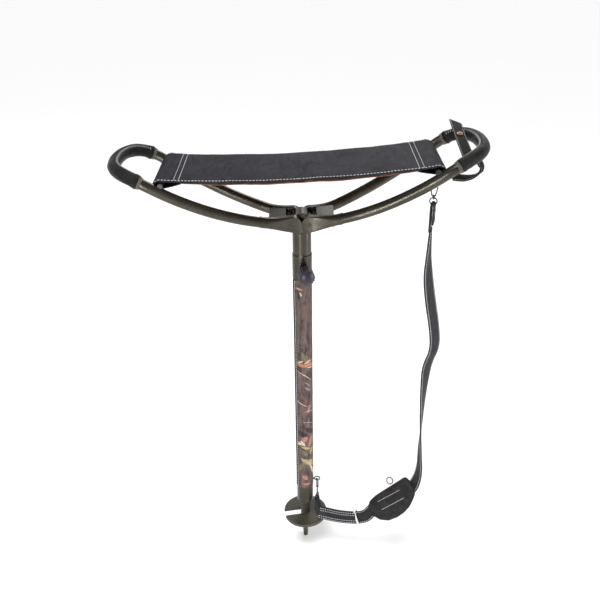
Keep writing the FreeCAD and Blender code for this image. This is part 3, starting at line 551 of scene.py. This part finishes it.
class Shape:
    """Points, faces, UVs in metres and material numbers of one piece. It is filled in millimetres."""

    def __init__(self):
        self.points, self.faces, self.uvs, self.slots, self.smooth = [], [], [], [], []

    def face(self, corners, uvs, slot, smooth):
        self.faces.append(corners)
        self.uvs.append(uvs)
        self.slots.append(slot)
        self.smooth.append(smooth)

    def loft(self, rings, slot=0, capped=True):
        """Quads between closed rings of equally many points."""
        start, count = len(self.points), len(rings[0])
        lengths = running_lengths([ring[0] for ring in rings])
        middle = rings[len(rings) // 2]
        around = running_lengths(middle + middle[:1])
        for ring in rings:
            self.points.extend(ring)
        for i in range(len(rings) - 1):
            for k in range(count):
                after = (k + 1) % count
                a, b = start + i * count, start + (i + 1) * count
                low, high = lengths[i], lengths[i + 1]
                left, right = around[k], around[k + 1]
                uvs = ((left, low), (right, low), (right, high), (left, high))
                self.face((a + k, a + after, b + after, b + k), uvs, slot, True)
        if capped:
            for first, turn in ((start, -1), (start + (len(rings) - 1) * count, 1)):
                self.fan([first + k for k in range(count)][::turn], slot)

    def fan(self, corners, slot):
        """A cap: triangles from the middle of a ring to its edges."""
        hub = len(self.points)
        total = Vector((0, 0, 0))
        for c in corners:
            total += self.points[c]
        self.points.append(total / len(corners))
        for a, b in zip(corners, corners[1:] + corners[:1]):
            self.face((a, b, hub), ((0, 0), (1, 0), (0, 1)), slot, False)

    def stitch(self, a, b, up, radius, slot):
        """One stitch: a short fat thread from a to b that dips in at its ends."""
        way = (b - a).normalized()
        wide = way.cross(up).normalized()
        rings = []
        for share, lift, swell in ((0, -0.9, 0.5), (0.2, 0.25, 1), (0.8, 0.25, 1), (1, -0.9, 0.5)):
            at = a.lerp(b, share) + up * (radius * lift)
            rings.append(circle(at, wide, up, radius * swell, 6))
        self.loft(rings, slot)

    def stitch_line(self, points, ups, pitch, radius, slot, share=0.72):
        """Stitches along a line of points, each with its own outward way."""
        carried = 0.0
        for (a, b), up in zip(zip(points, points[1:]), ups):
            span = (b - a).length
            way = (b - a) / span
            while carried < span:
                start = a + way * carried
                self.stitch(start, start + way * pitch * share, up, radius, slot)
                carried += pitch
            carried -= span

    def piece(self, name, materials, place=None):
        """The finished mesh object, in metres."""
        mesh = bpy.data.meshes.new(name)
        place = place or Matrix.Identity(4)
        mesh.from_pydata([(place @ p) * MM for p in self.points], [], self.faces)
        layer = mesh.uv_layers.new(name="UVMap")
        corner = 0
        for uv in self.uvs:
            for u, v in uv:
                layer.data[corner].uv = (u * MM, v * MM)
                corner += 1
        for material in materials:
            mesh.materials.append(material)
        mesh.polygons.foreach_set("material_index", self.slots)
        mesh.polygons.foreach_set("use_smooth", self.smooth)
        mesh.update()
        return new_object(name, mesh)


def frames(points, wide_of):
    """(point, wide way, face way) along a line. wide_of gives the wanted wide way at each share."""
    made = []
    for i, at in enumerate(points):
        way = way_along(points, i)
        wide = squared(wide_of(i / (len(points) - 1)), way)
        made.append((at, wide, way.cross(wide)))
    return made


def band_ring(at, wide, face, half_width, half_thick):
    """A flat strap's section with rounded edges and a slightly crowned face."""
    w, h = half_width, half_thick
    outline = (
        (-w + h, -h), (-w * 0.5, -h * 1.06), (0, -h * 1.1), (w * 0.5, -h * 1.06), (w - h, -h),
        (w - 0.3 * h, -0.75 * h), (w, 0), (w - 0.3 * h, 0.75 * h),
        (w - h, h), (w * 0.5, h * 1.06), (0, h * 1.1), (-w * 0.5, h * 1.06), (-w + h, h),
        (-w + 0.3 * h, 0.75 * h), (-w, 0), (-w + 0.3 * h, -0.75 * h),
    )
    return [at + wide * u + face * v for u, v in outline]


def add_band(shape, line, half_width, half_thick, slot=0, width_at=None):
    """A flat strap along a line of frames."""
    rings = []
    last = len(line) - 1
    for i, (at, wide, face) in enumerate(line):
        share = width_at(i / last) if width_at else 1.0
        rings.append(band_ring(at, wide, face, half_width * share, half_thick))
    shape.loft(rings, slot)


def add_edge_stitches(shape, line, half_width, half_thick, inset, slot, faces=(-1, 1)):
    """Rows of white stitches along both edges of a strap, on the faces asked for."""
    for edge in (-1, 1):
        for turn in faces:
            points = [
                at + wide * edge * (half_width - inset) + face * turn * half_thick
                for at, wide, face in line
            ]
            ups = [face * turn for at, wide, face in line]
            shape.stitch_line(points, ups, STITCH_PITCH, STITCH_R, slot)


def curve_line(name, points):
    """The route's own smooth line, in millimetres, read from a NURBS curve with no bevel."""
    data = bpy.data.curves.new(name, "CURVE")
    data.dimensions = "3D"
    data.resolution_u = 14
    spline = data.splines.new("NURBS")
    spline.points.add(len(points) - 1)
    for knot, at in zip(spline.points, points):
        knot.co = (*(c * MM for c in at), 1)
    spline.order_u = 3
    spline.use_endpoint_u = True
    holder = new_object(name, data)
    bpy.context.view_layer.update()
    mesh = bpy.data.meshes.new_from_object(holder)
    line = [v.co / MM for v in mesh.vertices]
    bpy.data.objects.remove(holder)
    bpy.data.meshes.remove(mesh)
    return line


def even_places(points, step):
    """(point before, share of the way to the next) for places about a step apart."""
    lengths = running_lengths(points)
    count = max(2, round(lengths[-1] / step))
    made, k = [], 0
    for i in range(count + 1):
        want = lengths[-1] * i / count
        while k < len(points) - 2 and lengths[k + 1] < want:
            k += 1
        span = lengths[k + 1] - lengths[k]
        made.append((k, (want - lengths[k]) / span if span else 0))
    return made


def evenly(points, step):
    """The same line with points about a step apart."""
    return [points[k].lerp(points[k + 1], share) for k, share in even_places(points, step)]


# ------------------ grips

GRIP_R = 8.5
GRIP_SIDES = 28
GRIP_STEPS = 120
GRIP_FROM, GRIP_TO = 7.0, 173.0
SEAM_LEAN = 0.75  # how far the laced seam is turned up from the hoop's inner side
LACE_REACH, LACE_R = 1.5, 0.42
BINDING_TURNS, BINDING_PITCH, BINDING_R = 4, 0.95, 8.0


def grip_lump(at, angle):
    """How far the leather stands off at a place: soft lumps and small creases."""
    soft = noise.noise(at * 0.06 + Vector((7, 0, 0)))
    crease = noise.noise(Vector((at.x * 0.22, at.y * 0.22, angle * 1.3)))
    return 0.35 * soft + 0.28 * crease


def make_grip(side, side_name):
    turns = (GRIP_FROM + (GRIP_TO - GRIP_FROM) * i / GRIP_STEPS for i in range(GRIP_STEPS + 1))
    line = [Vector((p.x * side, p.y, p.z)) for p in evenly([hoop_point(turn) for turn in turns], 1.6)]
    middle = Vector((200.0 * side, 0, line[len(line) // 2].z + 22))
    shape = Shape()
    rings, seam, seam_up = [], [], []
    last = len(line) - 1
    for i, at in enumerate(line):
        way = way_along(line, i)
        inward = squared((middle - at).normalized() + UP * SEAM_LEAN, way)
        up = way.cross(inward)
        ends = min(i, last - i)
        rim = 0.9 * math.exp(-((ends - 1.5) / 2.2) ** 2)
        scallop = 0.5 + 0.5 * math.cos(math.tau * i / 3.4)
        taper = -0.9 if ends == 0 else 0.0
        ring = []
        for k in range(GRIP_SIDES):
            angle = math.tau * k / GRIP_SIDES
            off = min(angle, math.tau - angle)
            groove = -1.0 * math.exp(-((off / 0.16) ** 2))
            groove += (0.2 + 1.1 * scallop) * math.exp(-(((off - 0.34) / 0.17) ** 2))
            frill = rim * (0.7 + 0.9 * abs(noise.noise(Vector((angle * 2.0, i * 0.1, side * 4.0)))))
            r = GRIP_R - 0.2 + grip_lump(at, angle) + frill + taper + groove
            ring.append(at + (inward * math.cos(angle) + up * math.sin(angle)) * r)
        rings.append(ring)
        seam.append(at + inward * (GRIP_R + 0.15))
        seam_up.append(inward)
    shape.loft(rings)
    for i in range(3, last - 2, 2):
        inward, way = seam_up[i], way_along(line, i)
        half = way.cross(inward) * LACE_REACH + way * 0.4
        middle = seam[i] + inward * 0.15
        shape.stitch(middle - half, middle + half, inward, LACE_R, 1)
    grip = shape.piece(side_name + "_grip_cover", [GRIP_LEATHER, LACE_THREAD], rocked(side))
    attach(grip, side_name + "_handle")
    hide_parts(side_name + "_grip")


def make_binding(side, side_name):
    """Four uneven turns of thread round the tube at each end of the grip."""
    shape = Shape()
    for end in (GRIP_FROM, GRIP_TO):
        at = hoop_point(end)
        near = hoop_point(end + (3 if end < 90 else -3))
        at, near = Vector((at.x * side, at.y, at.z)), Vector((near.x * side, near.y, near.z))
        way = (at - near).normalized()
        out = way.orthogonal().normalized()
        over = way.cross(out)
        for turn in range(BINDING_TURNS):
            middle = at + way * (0.3 + turn * BINDING_PITCH)
            rings = []
            for k in range(36):
                angle = math.tau * k / 36
                radial = out * math.cos(angle) + over * math.sin(angle)
                stray = noise.noise(radial * 1.7 + Vector((turn * 3.1, end, side)))
                hub = middle + radial * (BINDING_R - 0.22 * turn + 0.35 * stray) + way * 0.8 * stray
                rings.append(circle(hub, radial, way, 0.5, 8))
            shape.loft(rings + rings[:1], 0, capped=False)
    made = shape.piece(side_name + "_binding_thread", [DARK_THREAD], rocked(side))
    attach(made, side_name + "_handle")
    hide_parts(side_name + "_grip_bindings")


for side, side_name in ((-1, "left"), (1, "right")):
    make_grip(side, side_name)
    make_binding(side, side_name)

# ------------------ sling

SLING_X, SLING_Y = 181.0, 56.0
SLING_END_Z, SLING_SAG = BAR_Z + BAR_R + 2.4, 7.0
SLING_THICK, LINING_THICK = 2.0, 0.8
SLING_STEPS = 72
SEAM_XS = (149.0, 155.0)
EDGE_SEAM_INSET = 3.2
POCKET_Y, POCKET_DEPTH, POCKET_REACH, POCKET_STEPS = 51.0, 8.0, 34.0, 24
LINING_X = 147.0


def sling_height(x, y):
    """Height of the sling's middle surface: a sagging arc, tails beyond the bars, soft waves."""
    reach = min(abs(x), BAR_X) / BAR_X
    z = SLING_END_Z - SLING_SAG * (1 - reach**2)
    if abs(x) > BAR_X:
        z -= 0.035 * (abs(x) - BAR_X) ** 2 * 1.1
    edge = abs(y) / SLING_Y
    droop = 1.3 * edge**6 * (1 - reach**4)
    wave = 0.9 * noise.noise(Vector((x * 0.018, y * 0.02, 3.1))) * (1 - reach**6)
    ripple = 0.35 * noise.noise(Vector((x * 0.07, y * 0.03, 9.4)))
    ridge = 0.5 * math.exp(-(((abs(x) - BAR_X) / 3.2) ** 2))
    pinch = -0.35 * sum(math.exp(-(((abs(x) - s) / 1.3) ** 2)) for s in SEAM_XS)
    return z - droop + wave + ripple + ridge + pinch


def sling_edge(x):
    """Half the width at a place along the sling: the cut is a little waisted and not quite even."""
    return SLING_Y - 1.2 * (1 - (x / SLING_X) ** 2) + 0.35 * noise.noise(Vector((x * 0.03, 5.5, 0)))


def add_slab(shape, xs, half_width_of, height_of, thick, slot, columns=26):
    """A sheet with rounded edges over a height field, as one closed skin."""
    rings = []
    for x in xs:
        half = half_width_of(x)
        ring = []
        for face, row in ((1, range(columns + 1)), (-1, range(columns, -1, -1))):
            for k in row:
                y = half * (2 * k / columns - 1)
                reach = face * thick * (0.25 if k in (0, columns) else 0.5)
                ring.append(Vector((x, y, height_of(x, y) + reach)))
        rings.append(ring)
    shape.loft(rings, slot)


def add_sling_seams(shape, side, xs):
    """White stitches along both edges, and two rows across that hold the pocket."""
    face = SLING_THICK / 2
    for edge in (-1, 1):
        inner = SLING_Y - EDGE_SEAM_INSET
        points = [
            Vector((x, edge * (sling_edge(x) - EDGE_SEAM_INSET), sling_height(x, edge * inner) + face))
            for x in xs[:-1]
        ]
        shape.stitch_line(points, [UP] * SLING_STEPS, 4.2, 0.36, 1)
    rows = 24
    for seam_x in SEAM_XS:
        points = [
            Vector((side * seam_x, y, sling_height(side * seam_x, y) + face))
            for y in (-SLING_Y + 4.5 + (2 * SLING_Y - 9) * k / rows for k in range(rows + 1))
        ]
        shape.stitch_line(points, [UP] * rows, 3.9, 0.4, 1)


def add_pocket(shape, side):
    """The leather turns down outside the bar and comes back under it to the seams."""
    end_x, end_z, turn_share = SLING_X - 0.3, sling_height(SLING_X, 0), 0.3
    lower = []
    for step in range(POCKET_STEPS + 1):
        share = step / POCKET_STEPS
        down = share / turn_share
        back = (share - turn_share) / (1 - turn_share)
        if share < turn_share:
            x, z = end_x, -1.0 - (POCKET_DEPTH - 1.0) * down
        else:
            x, z = end_x - POCKET_REACH * back, -POCKET_DEPTH + 5.6 * back**1.6
        lower.append(Vector((side * x, 0, end_z + z)))
    add_band(shape, frames(lower, lambda share: Vector((0, 1, 0))), POCKET_Y, 0.8)


def lining_height(x, y):
    """The lining hangs just under the leather and bellies out towards its edges."""
    reach = abs(x) / LINING_X
    fold = max(0.0, noise.noise(Vector((x * 0.025, 8.8, y * 0.01))) + 0.35)
    belly = (1.0 + 1.7 * fold) * (1 - reach**4)
    return sling_height(x, y) - SLING_THICK / 2 - 0.75 - belly * abs(y / SLING_Y) ** 3


def make_sling(side, side_name):
    shares = [i / SLING_STEPS for i in range(SLING_STEPS + 1)]
    xs = [side * SLING_X * share for share in shares]
    shape = Shape()
    add_slab(shape, xs, sling_edge, sling_height, SLING_THICK, 0)
    add_sling_seams(shape, side, xs)
    add_pocket(shape, side)
    made = shape.piece("sling_" + side_name, [SLING_LEATHER, WHITE_THREAD], rocked(0))
    finish_sling(made, side)
    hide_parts("sling_seat")
    lining = Shape()
    xs = [side * LINING_X * share for share in shares]
    add_slab(lining, xs, lambda x: sling_edge(x) - 0.5, lining_height, LINING_THICK, 0)
    made = lining.piece("sling_lining_" + side_name, [CAMO_LINING], rocked(0))
    finish_sling(made, side)


def finish_sling(made, side):
    start, end = (side * 0.004, 0, 0.6), (side * 0.146, 0, 0.6)
    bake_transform(made)
    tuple(start)
    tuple(end)


for side, side_name in ((-1, "left"), (1, "right")):
    make_sling(side, side_name)

# ------------------ closing strap on the right hoop

CLOSING_OVER = (
    (209, 44, 641), (209, 25, 636), (209.3, 5, 631), (210.5, -11, 625.5), (212, -25, 619.5),
    (213.5, -37, 613),
)
CLOSING_UNDER = (
    (225, -27, 612.5), (230, -28, 606), (230, -31, 600), (224, -35, 596), (213, -41, 594.5),
    (200, -47, 596.5), (188, -52.5, 601.5),
)
CLOSING_HALF_WIDTH, CLOSING_HALF_THICK = 7.4, 0.9
TIP_SLANT, TIP_STEPS = 0.9, 9


def make_closing_strap():
    shape = Shape()
    for points, wide_way in ((CLOSING_OVER, (1, 0.1, 0)), (CLOSING_UNDER, (0.55, 0.8, 0))):
        line = evenly(curve_line("closing_route", points), 1.5)
        line = frames(line, lambda share: Vector(wide_way))
        if wide_way[0] == 1:
            # the free tip is cut aslant
            line = [
                (at, wide + wide.cross(face) * TIP_SLANT * max(0.0, 1 - i / TIP_STEPS), face)
                for i, (at, wide, face) in enumerate(line)
            ]
        add_band(shape, line, CLOSING_HALF_WIDTH, CLOSING_HALF_THICK)
        add_edge_stitches(shape, line, CLOSING_HALF_WIDTH, CLOSING_HALF_THICK, 1.3, 1)
    made = shape.piece("closing_band", [CLOSING_LEATHER, LACE_THREAD], rocked(1))
    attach(made, "right_handle")
    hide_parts("closing_strap")


def make_stud_cap():
    """The dark centre of the press stud."""
    shape = Shape()
    up = Vector((0, -0.24, 1)).normalized()
    base = Vector((209.2, 13, 632.9)) + up * 2.0
    across = Vector((1, 0, 0))
    over = up.cross(across)
    rings = []
    for r, lift in ((2.3, 0.0), (2.3, 0.45), (1.7, 0.7), (0.6, 0.75)):
        rings.append(circle(base + up * lift, across, over, r, 24))
    shape.loft(rings)
    made = shape.piece("stud_cap", [BLACK_WIRE], rocked(1))
    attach(made, "right_handle")


make_closing_strap()
make_stud_cap()

# ------------------ shoulder strap

STRAP_HALF_WIDTH, STRAP_HALF_THICK = 10.0, 1.1
# each point of the route, from the head to the foot, with the strap's wide way there
STRAP_ROUTE = (
    ((164.5, -53.5, 537.5), (0.30, 1.0, 0)), ((164, -53, 503), (0.45, 1.0, 0)),
    ((165.5, -52.5, 470), (0.85, 0.8, 0)), ((172, -51.5, 430), (0.98, 0.75, 0)),
    ((180, -51, 390), (0.95, 0.75, 0)), ((183.5, -51, 356), (1.0, 0.72, 0)),
    ((174, -50.5, 330), (1.0, 0.72, 0)), ((172.5, -50, 296), (0.75, 0.85, 0)),
    ((172, -49.8, 256), (0.48, 1.0, 0)), ((173, -49, 212), (0.22, 1.0, 0)),
    ((174, -48, 168), (-0.12, 1.0, 0)), ((176, -48, 130), (-0.28, 1.0, 0.1)),
    ((169.5, -44.5, 96), (-0.42, 0.85, 0.45)), ((152, -41, 78), (-0.44, 0.66, 0.60)),
    ((124, -37.5, 54), (-0.40, 0.65, 0.62)), ((106, -37, 41), (-0.36, 0.60, 0.70)),
    ((99, -34.5, 26.5), (-0.25, 0.55, 0.80)), ((87, -31, 19.3), (-0.12, 0.50, 0.86)),
    ((72, -29, 18.2), (0.0, 0.50, 0.86)), ((58, -26, 17.4), (0.03, 0.50, 0.86)),
    ((46.5, -23, 17.3), (0.05, 0.50, 0.86)), ((34, -20, 18.7), (0.10, 0.50, 0.85)),
    ((23, -17.5, 19.5), (0.20, 0.50, 0.83)),
)
STRAP_SPLITS = (150.0, 300.0)
FRONT = Vector((0, -0.7, 0.7))


def strap_frames():
    """(point, wide way, face way) every two millimetres of the strap's own smooth line."""
    middle = curve_line("strap_route", [at for at, way in STRAP_ROUTE])
    edge = curve_line("strap_edge", [
        Vector(at) + Vector(way).normalized() * STRAP_HALF_WIDTH for at, way in STRAP_ROUTE
    ])
    made = []
    for k, share in even_places(middle, 2.0):
        at = middle[k].lerp(middle[k + 1], share)
        way = (middle[k + 1] - middle[k]).normalized()
        wide = squared(edge[k].lerp(edge[k + 1], share) - at, way)
        made.append((at, wide, way.cross(wide)))
    return made, running_lengths(middle)[-1]


def strap_piece(name, line):
    shape = Shape()
    add_band(shape, line, STRAP_HALF_WIDTH, STRAP_HALF_THICK)
    add_edge_stitches(shape, line, STRAP_HALF_WIDTH, STRAP_HALF_THICK, 2.1, 1)
    made = shape.piece(name, [STRAP_LEATHER, WHITE_THREAD])
    return made


def declare_strap(line, with_pieces=()):
    path = [tuple(at * MM) for at, wide, face in line]
    length = running_lengths([at for at, wide, face in line])[-1] * MM
    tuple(path[0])


strap, strap_length = strap_frames()
per_mm = (len(strap) - 1) / strap_length
first_split, second_split = (round(at * per_mm) for at in STRAP_SPLITS)
top_line = strap[:first_split + 1]
middle_line = strap[first_split:second_split + 1]
low_line = strap[second_split:]


def make_strap_head():
    """The strap's end, folded over the snap ring and sewn to itself."""
    ring_at = Vector((165, -54.5, 576.6))
    wide = Vector((0.30, 1.0, 0)).normalized()
    out = Vector((1.0, -0.30, 0)).normalized()
    fold = []
    for share in range(11):
        fold.append(ring_at + out * -1.9 + Vector((0, 0, -39.5 + 3.45 * share)))
    for step in range(1, 8):
        angle = math.pi * step / 8
        fold.append(ring_at + Vector((0, 0, -5.0)) + out * -1.9 * math.cos(angle)
                    + Vector((0, 0, 1.9 * math.sin(angle))))
    for share in range(9):
        fold.append(ring_at + out * 1.9 + Vector((0, 0, -5.0 - 3.1 * share)))
    line = frames(fold, lambda share: wide)
    shape = Shape()
    add_band(shape, line, 8.6, 1.1, width_at=lambda share: 0.82 + 0.18 * abs(2 * share - 1.08))
    for turn in (-1, 1):
        for level in (-15.0, -27.0):
            row = [ring_at + out * 3.0 * turn + Vector((0, 0, level)) + wide * y for y in (-6.5, 6.5)]
            shape.stitch_line(row, [out * turn], 2.6, 0.36, 1)
    made = shape.piece("strap_head_fold", [STRAP_LEATHER, LACE_THREAD])
    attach(made, "right_handle")
    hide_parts("strap_head")
    return made


def make_strap_return():
    """The strap's other end, back over itself to the slider, and its tab through the hook ring."""
    slider_at = Vector((84, -30.3, 19.3))
    start = min(range(len(low_line)), key=lambda i: (low_line[i][0] - slider_at).length)
    lower = low_line[start:]
    over = []
    for at, wide, face in lower:
        out = face if face.dot(FRONT) > 0 else -face
        over.append((at + out * 2.4 - wide * 0.4, wide, face))
    shape = Shape()
    add_band(shape, over, STRAP_HALF_WIDTH - 0.6, STRAP_HALF_THICK)
    for inset in (1.8, 5.0):
        add_edge_stitches(shape, over, STRAP_HALF_WIDTH - 0.6, STRAP_HALF_THICK, inset, 1)
    at, wide, face = over[-1]
    way = (over[-1][0] - over[-4][0]).normalized()
    ring_low = Vector((19.7, -4.4, 45.1))
    fold = [
        at - way * 3.0 - Vector((0, 0, 1.5)), at + way * 2.5 + Vector((-0.5, 2.5, 6)),
        ring_low + Vector((1.2, -3.0, -9)), ring_low + Vector((0.6, -1.4, -2.2)), ring_low,
        ring_low + Vector((-0.6, 1.5, -2.2)), ring_low + Vector((-0.2, 0.8, -9)),
        lower[-1][0] + Vector((-1.5, 2.5, 7)), lower[-1][0] + Vector((0.5, 1.2, 0.5)),
    ]
    fold = evenly(fold, 1.2)
    across = Vector((0.93, 0.36, 0))
    line = frames(fold, lambda share: across.lerp(wide, (2 * share - 1) ** 4))
    add_band(shape, line, 7.0, 0.9, width_at=lambda share: 0.40 + 0.6 * abs(2 * share - 1) ** 1.3)
    made = shape.piece("strap_return", [STRAP_LEATHER, WHITE_THREAD])
    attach(made, "leg")
    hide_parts("strap_tail")
    return made


# ------------------ shoulder pad

PAD_TOP, PAD_LOW = Vector((168, -47, 96)), Vector((106, -37, 41))
PAD_HALF_LENGTH, PAD_HALF_WIDTH, PAD_HALF_THICK = 44.0, 23.5, 3.0
pad_middle = (PAD_TOP + PAD_LOW) * 0.5
pad_along = (PAD_TOP - PAD_LOW).normalized()
pad_across = squared(Vector((-0.44, 0.65, 0.62)), pad_along)
pad_normal = pad_along.cross(pad_across)
PAD_STEPS, PAD_COLUMNS = 44, 20
PAD_STITCH_STEPS = 30
# the pad's outline: share along it, and how far its upper and its lower edge stand off the strap
PAD_OUTLINE = (
    (0.0, 4, 4), (0.03, 9, 10), (0.1, 14, 19), (0.25, 17, 26.5), (0.43, 18.2, 28.2),
    (0.6, 18.8, 26.6), (0.75, 19.6, 22.5), (0.88, 20.4, 15.5), (0.95, 20.2, 11), (0.985, 17, 7),
    (1.0, 11, 4),
)


def pad_half_width(share, column):
    """How far the pad reaches off the strap at a share of its length."""
    for low, high in zip(PAD_OUTLINE, PAD_OUTLINE[1:]):
        if share <= high[0]:
            part = (share - low[0]) / (high[0] - low[0])
            return low[column] + (high[column] - low[column]) * part
    return PAD_OUTLINE[-1][column]


def pad_point(share, off, lift):
    """A point of the pad: share along it, off from -1 to 1 across it, lift off its plane."""
    t = 2 * share - 1
    across = off * pad_half_width(share, 1 if off > 0 else 2)
    droop = -1.0 * t**2
    curl = -1.8 * off**2 * (1 - t**2)
    lift += 3.3 + droop + curl
    return pad_middle + pad_along * t * PAD_HALF_LENGTH + pad_across * across + pad_normal * lift


def pad_crown(share, off):
    """Half thickness of the pad: full in the middle, thin at its sewn rim."""
    reach = max(abs(off), abs(2 * share - 1) ** 1.4)
    tunnel = 1.0 * math.exp(-((off * PAD_HALF_WIDTH / 6.5) ** 4)) * (1 - abs(2 * share - 1) ** 4)
    dent = -0.35 * noise.noise(Vector((share * 9, off * 3, 1.7)))
    return 0.9 + (PAD_HALF_THICK - 0.9) * (1 - reach**3.2) + tunnel + dent * (1 - reach)


def make_pad():
    shape = Shape()
    rings = []
    for i in range(PAD_STEPS + 1):
        share = 0.004 + 0.992 * i / PAD_STEPS
        ring = []
        columns = range(PAD_COLUMNS + 1)
        for face, fullness, row in ((1, 1.0, columns), (-1, 0.8, reversed(columns))):
            for k in row:
                off = 2 * k / PAD_COLUMNS - 1
                lift = pad_crown(share, off) * fullness if 0 < k < PAD_COLUMNS else 0.45
                ring.append(pad_point(share, off, face * lift))
        rings.append(ring)
    shape.loft(rings)
    for off_mm in (-6.8, 6.8):
        row = []
        for i in range(PAD_STITCH_STEPS + 1):
            share = 0.26 + 0.48 * i / PAD_STITCH_STEPS
            off = off_mm / pad_half_width(share, 1 if off_mm > 0 else 2)
            row.append(pad_point(share, off, pad_crown(share, off)))
        shape.stitch_line(row, [pad_normal] * PAD_STITCH_STEPS, 2.6, 0.36, 1)
    made = shape.piece("shoulder_pad_leather", [PAD_LEATHER, WHITE_THREAD])
    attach(made, "leg")
    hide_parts("shoulder_pad", "pad_keeper")
    return made


strap_top = strap_piece("strap_top", top_line)
strap_middle = strap_piece("strap_middle", middle_line)
strap_low = strap_piece("strap_low", low_line)
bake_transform(strap_top)
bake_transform(strap_middle)
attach(strap_low, "leg")
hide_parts("strap_upper")
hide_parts("strap_upper")
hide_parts("strap_upper", "strap_lower")
declare_strap(top_line, [make_strap_head()])
declare_strap(middle_line)
declare_strap(low_line, [make_strap_return(), make_pad(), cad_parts["strap_slider"],
                                    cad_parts["pad_ring"]])

# ------------------ camouflage sleeve

SLEEVE_LOW, SLEEVE_TOP, SLEEVE_R = 67.0, 445.0, 13.45
SEAM_ANGLE = math.radians(220)
# the edge tape's section: off from the seam round the sleeve, and lift off the cloth
TAPE_SECTION = (
    (-6.4, 0.02), (-5.9, 0.5), (-3, 0.6), (-0.4, 0.62), (0.7, 0.5), (1.1, 0.02), (1.1, -0.5), (-6.4, -0.5),
)


def sleeve_radius(angle, z):
    """The cloth's own radius: small wrinkles, and the pull of the seam and of both hems."""
    wrinkle = noise.noise(Vector((math.cos(angle) * 2.2, math.sin(angle) * 2.2, z * 0.05)))
    hem = min(z - SLEEVE_LOW, SLEEVE_TOP - z)
    tuck = -0.35 * math.exp(-hem / 1.2) + 0.12 * math.exp(-(((hem - 5) / 1.5) ** 2))
    off = angle % math.tau
    off = min(off, math.tau - off) * SLEEVE_R
    return SLEEVE_R + 0.16 * wrinkle + tuck + 0.25 * math.exp(-((off / 4.0) ** 2))


def sleeve_point(angle, z, lift=0.0):
    """A point of the sleeve, at an angle from its seam and a lift off its face."""
    r = sleeve_radius(angle, z) + lift
    turn = angle + SEAM_ANGLE
    return Vector((r * math.cos(turn), r * math.sin(turn), z))


def make_sleeve():
    sides, rows = 96, 190
    shape = Shape()
    rings = []
    for i in range(rows + 1):
        z = SLEEVE_LOW + (SLEEVE_TOP - SLEEVE_LOW) * i / rows
        rings.append([sleeve_point(math.tau * k / sides, z) for k in range(sides)])
    shape.loft(rings, capped=False)
    made = shape.piece("sleeve_cloth", [CAMO_CLOTH])
    layer = made.data.uv_layers["UVMap"]
    for datum in layer.data:
        datum.uv.y += SLEEVE_LOW * MM
    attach(made, "leg")
    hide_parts("camo_sleeve")


def make_sleeve_seam():
    """A black edge tape down the left of the sleeve, sewn with white thread along its near edge."""
    shape = Shape()
    rings = []
    rows = 150
    for i in range(rows + 1):
        z = SLEEVE_LOW + 0.5 + (SLEEVE_TOP - SLEEVE_LOW - 1.0) * i / rows
        wander = 0.5 * noise.noise(Vector((0, 3.3, z * 0.02)))
        rings.append([sleeve_point((off + wander) / SLEEVE_R, z, lift) for off, lift in TAPE_SECTION])
    shape.loft(rings)
    row = [(ring[3] + ring[4]) / 2 for ring in rings]
    ups = [Vector((at.x, at.y, 0)).normalized() for at in row]
    shape.stitch_line(row, ups[:-1], 3.4, 0.42, 1)
    made = shape.piece("sleeve_seam_tape", [EDGE_TAPE, WHITE_THREAD])
    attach(made, "leg")


make_sleeve()
make_sleeve_seam()

# ------------------ floor

bpy.ops.mesh.primitive_plane_add(size=40, location=(0, 0, CAD_BOX[0][2] - 0.0005))
floor = bpy.context.object
floor.name = "floor"
floor_paint = Paint("floor_paint")
floor.data.materials.append(floor_paint.finish(color=(0.95, 0.95, 0.95), rough=1.0, spec=0.0))
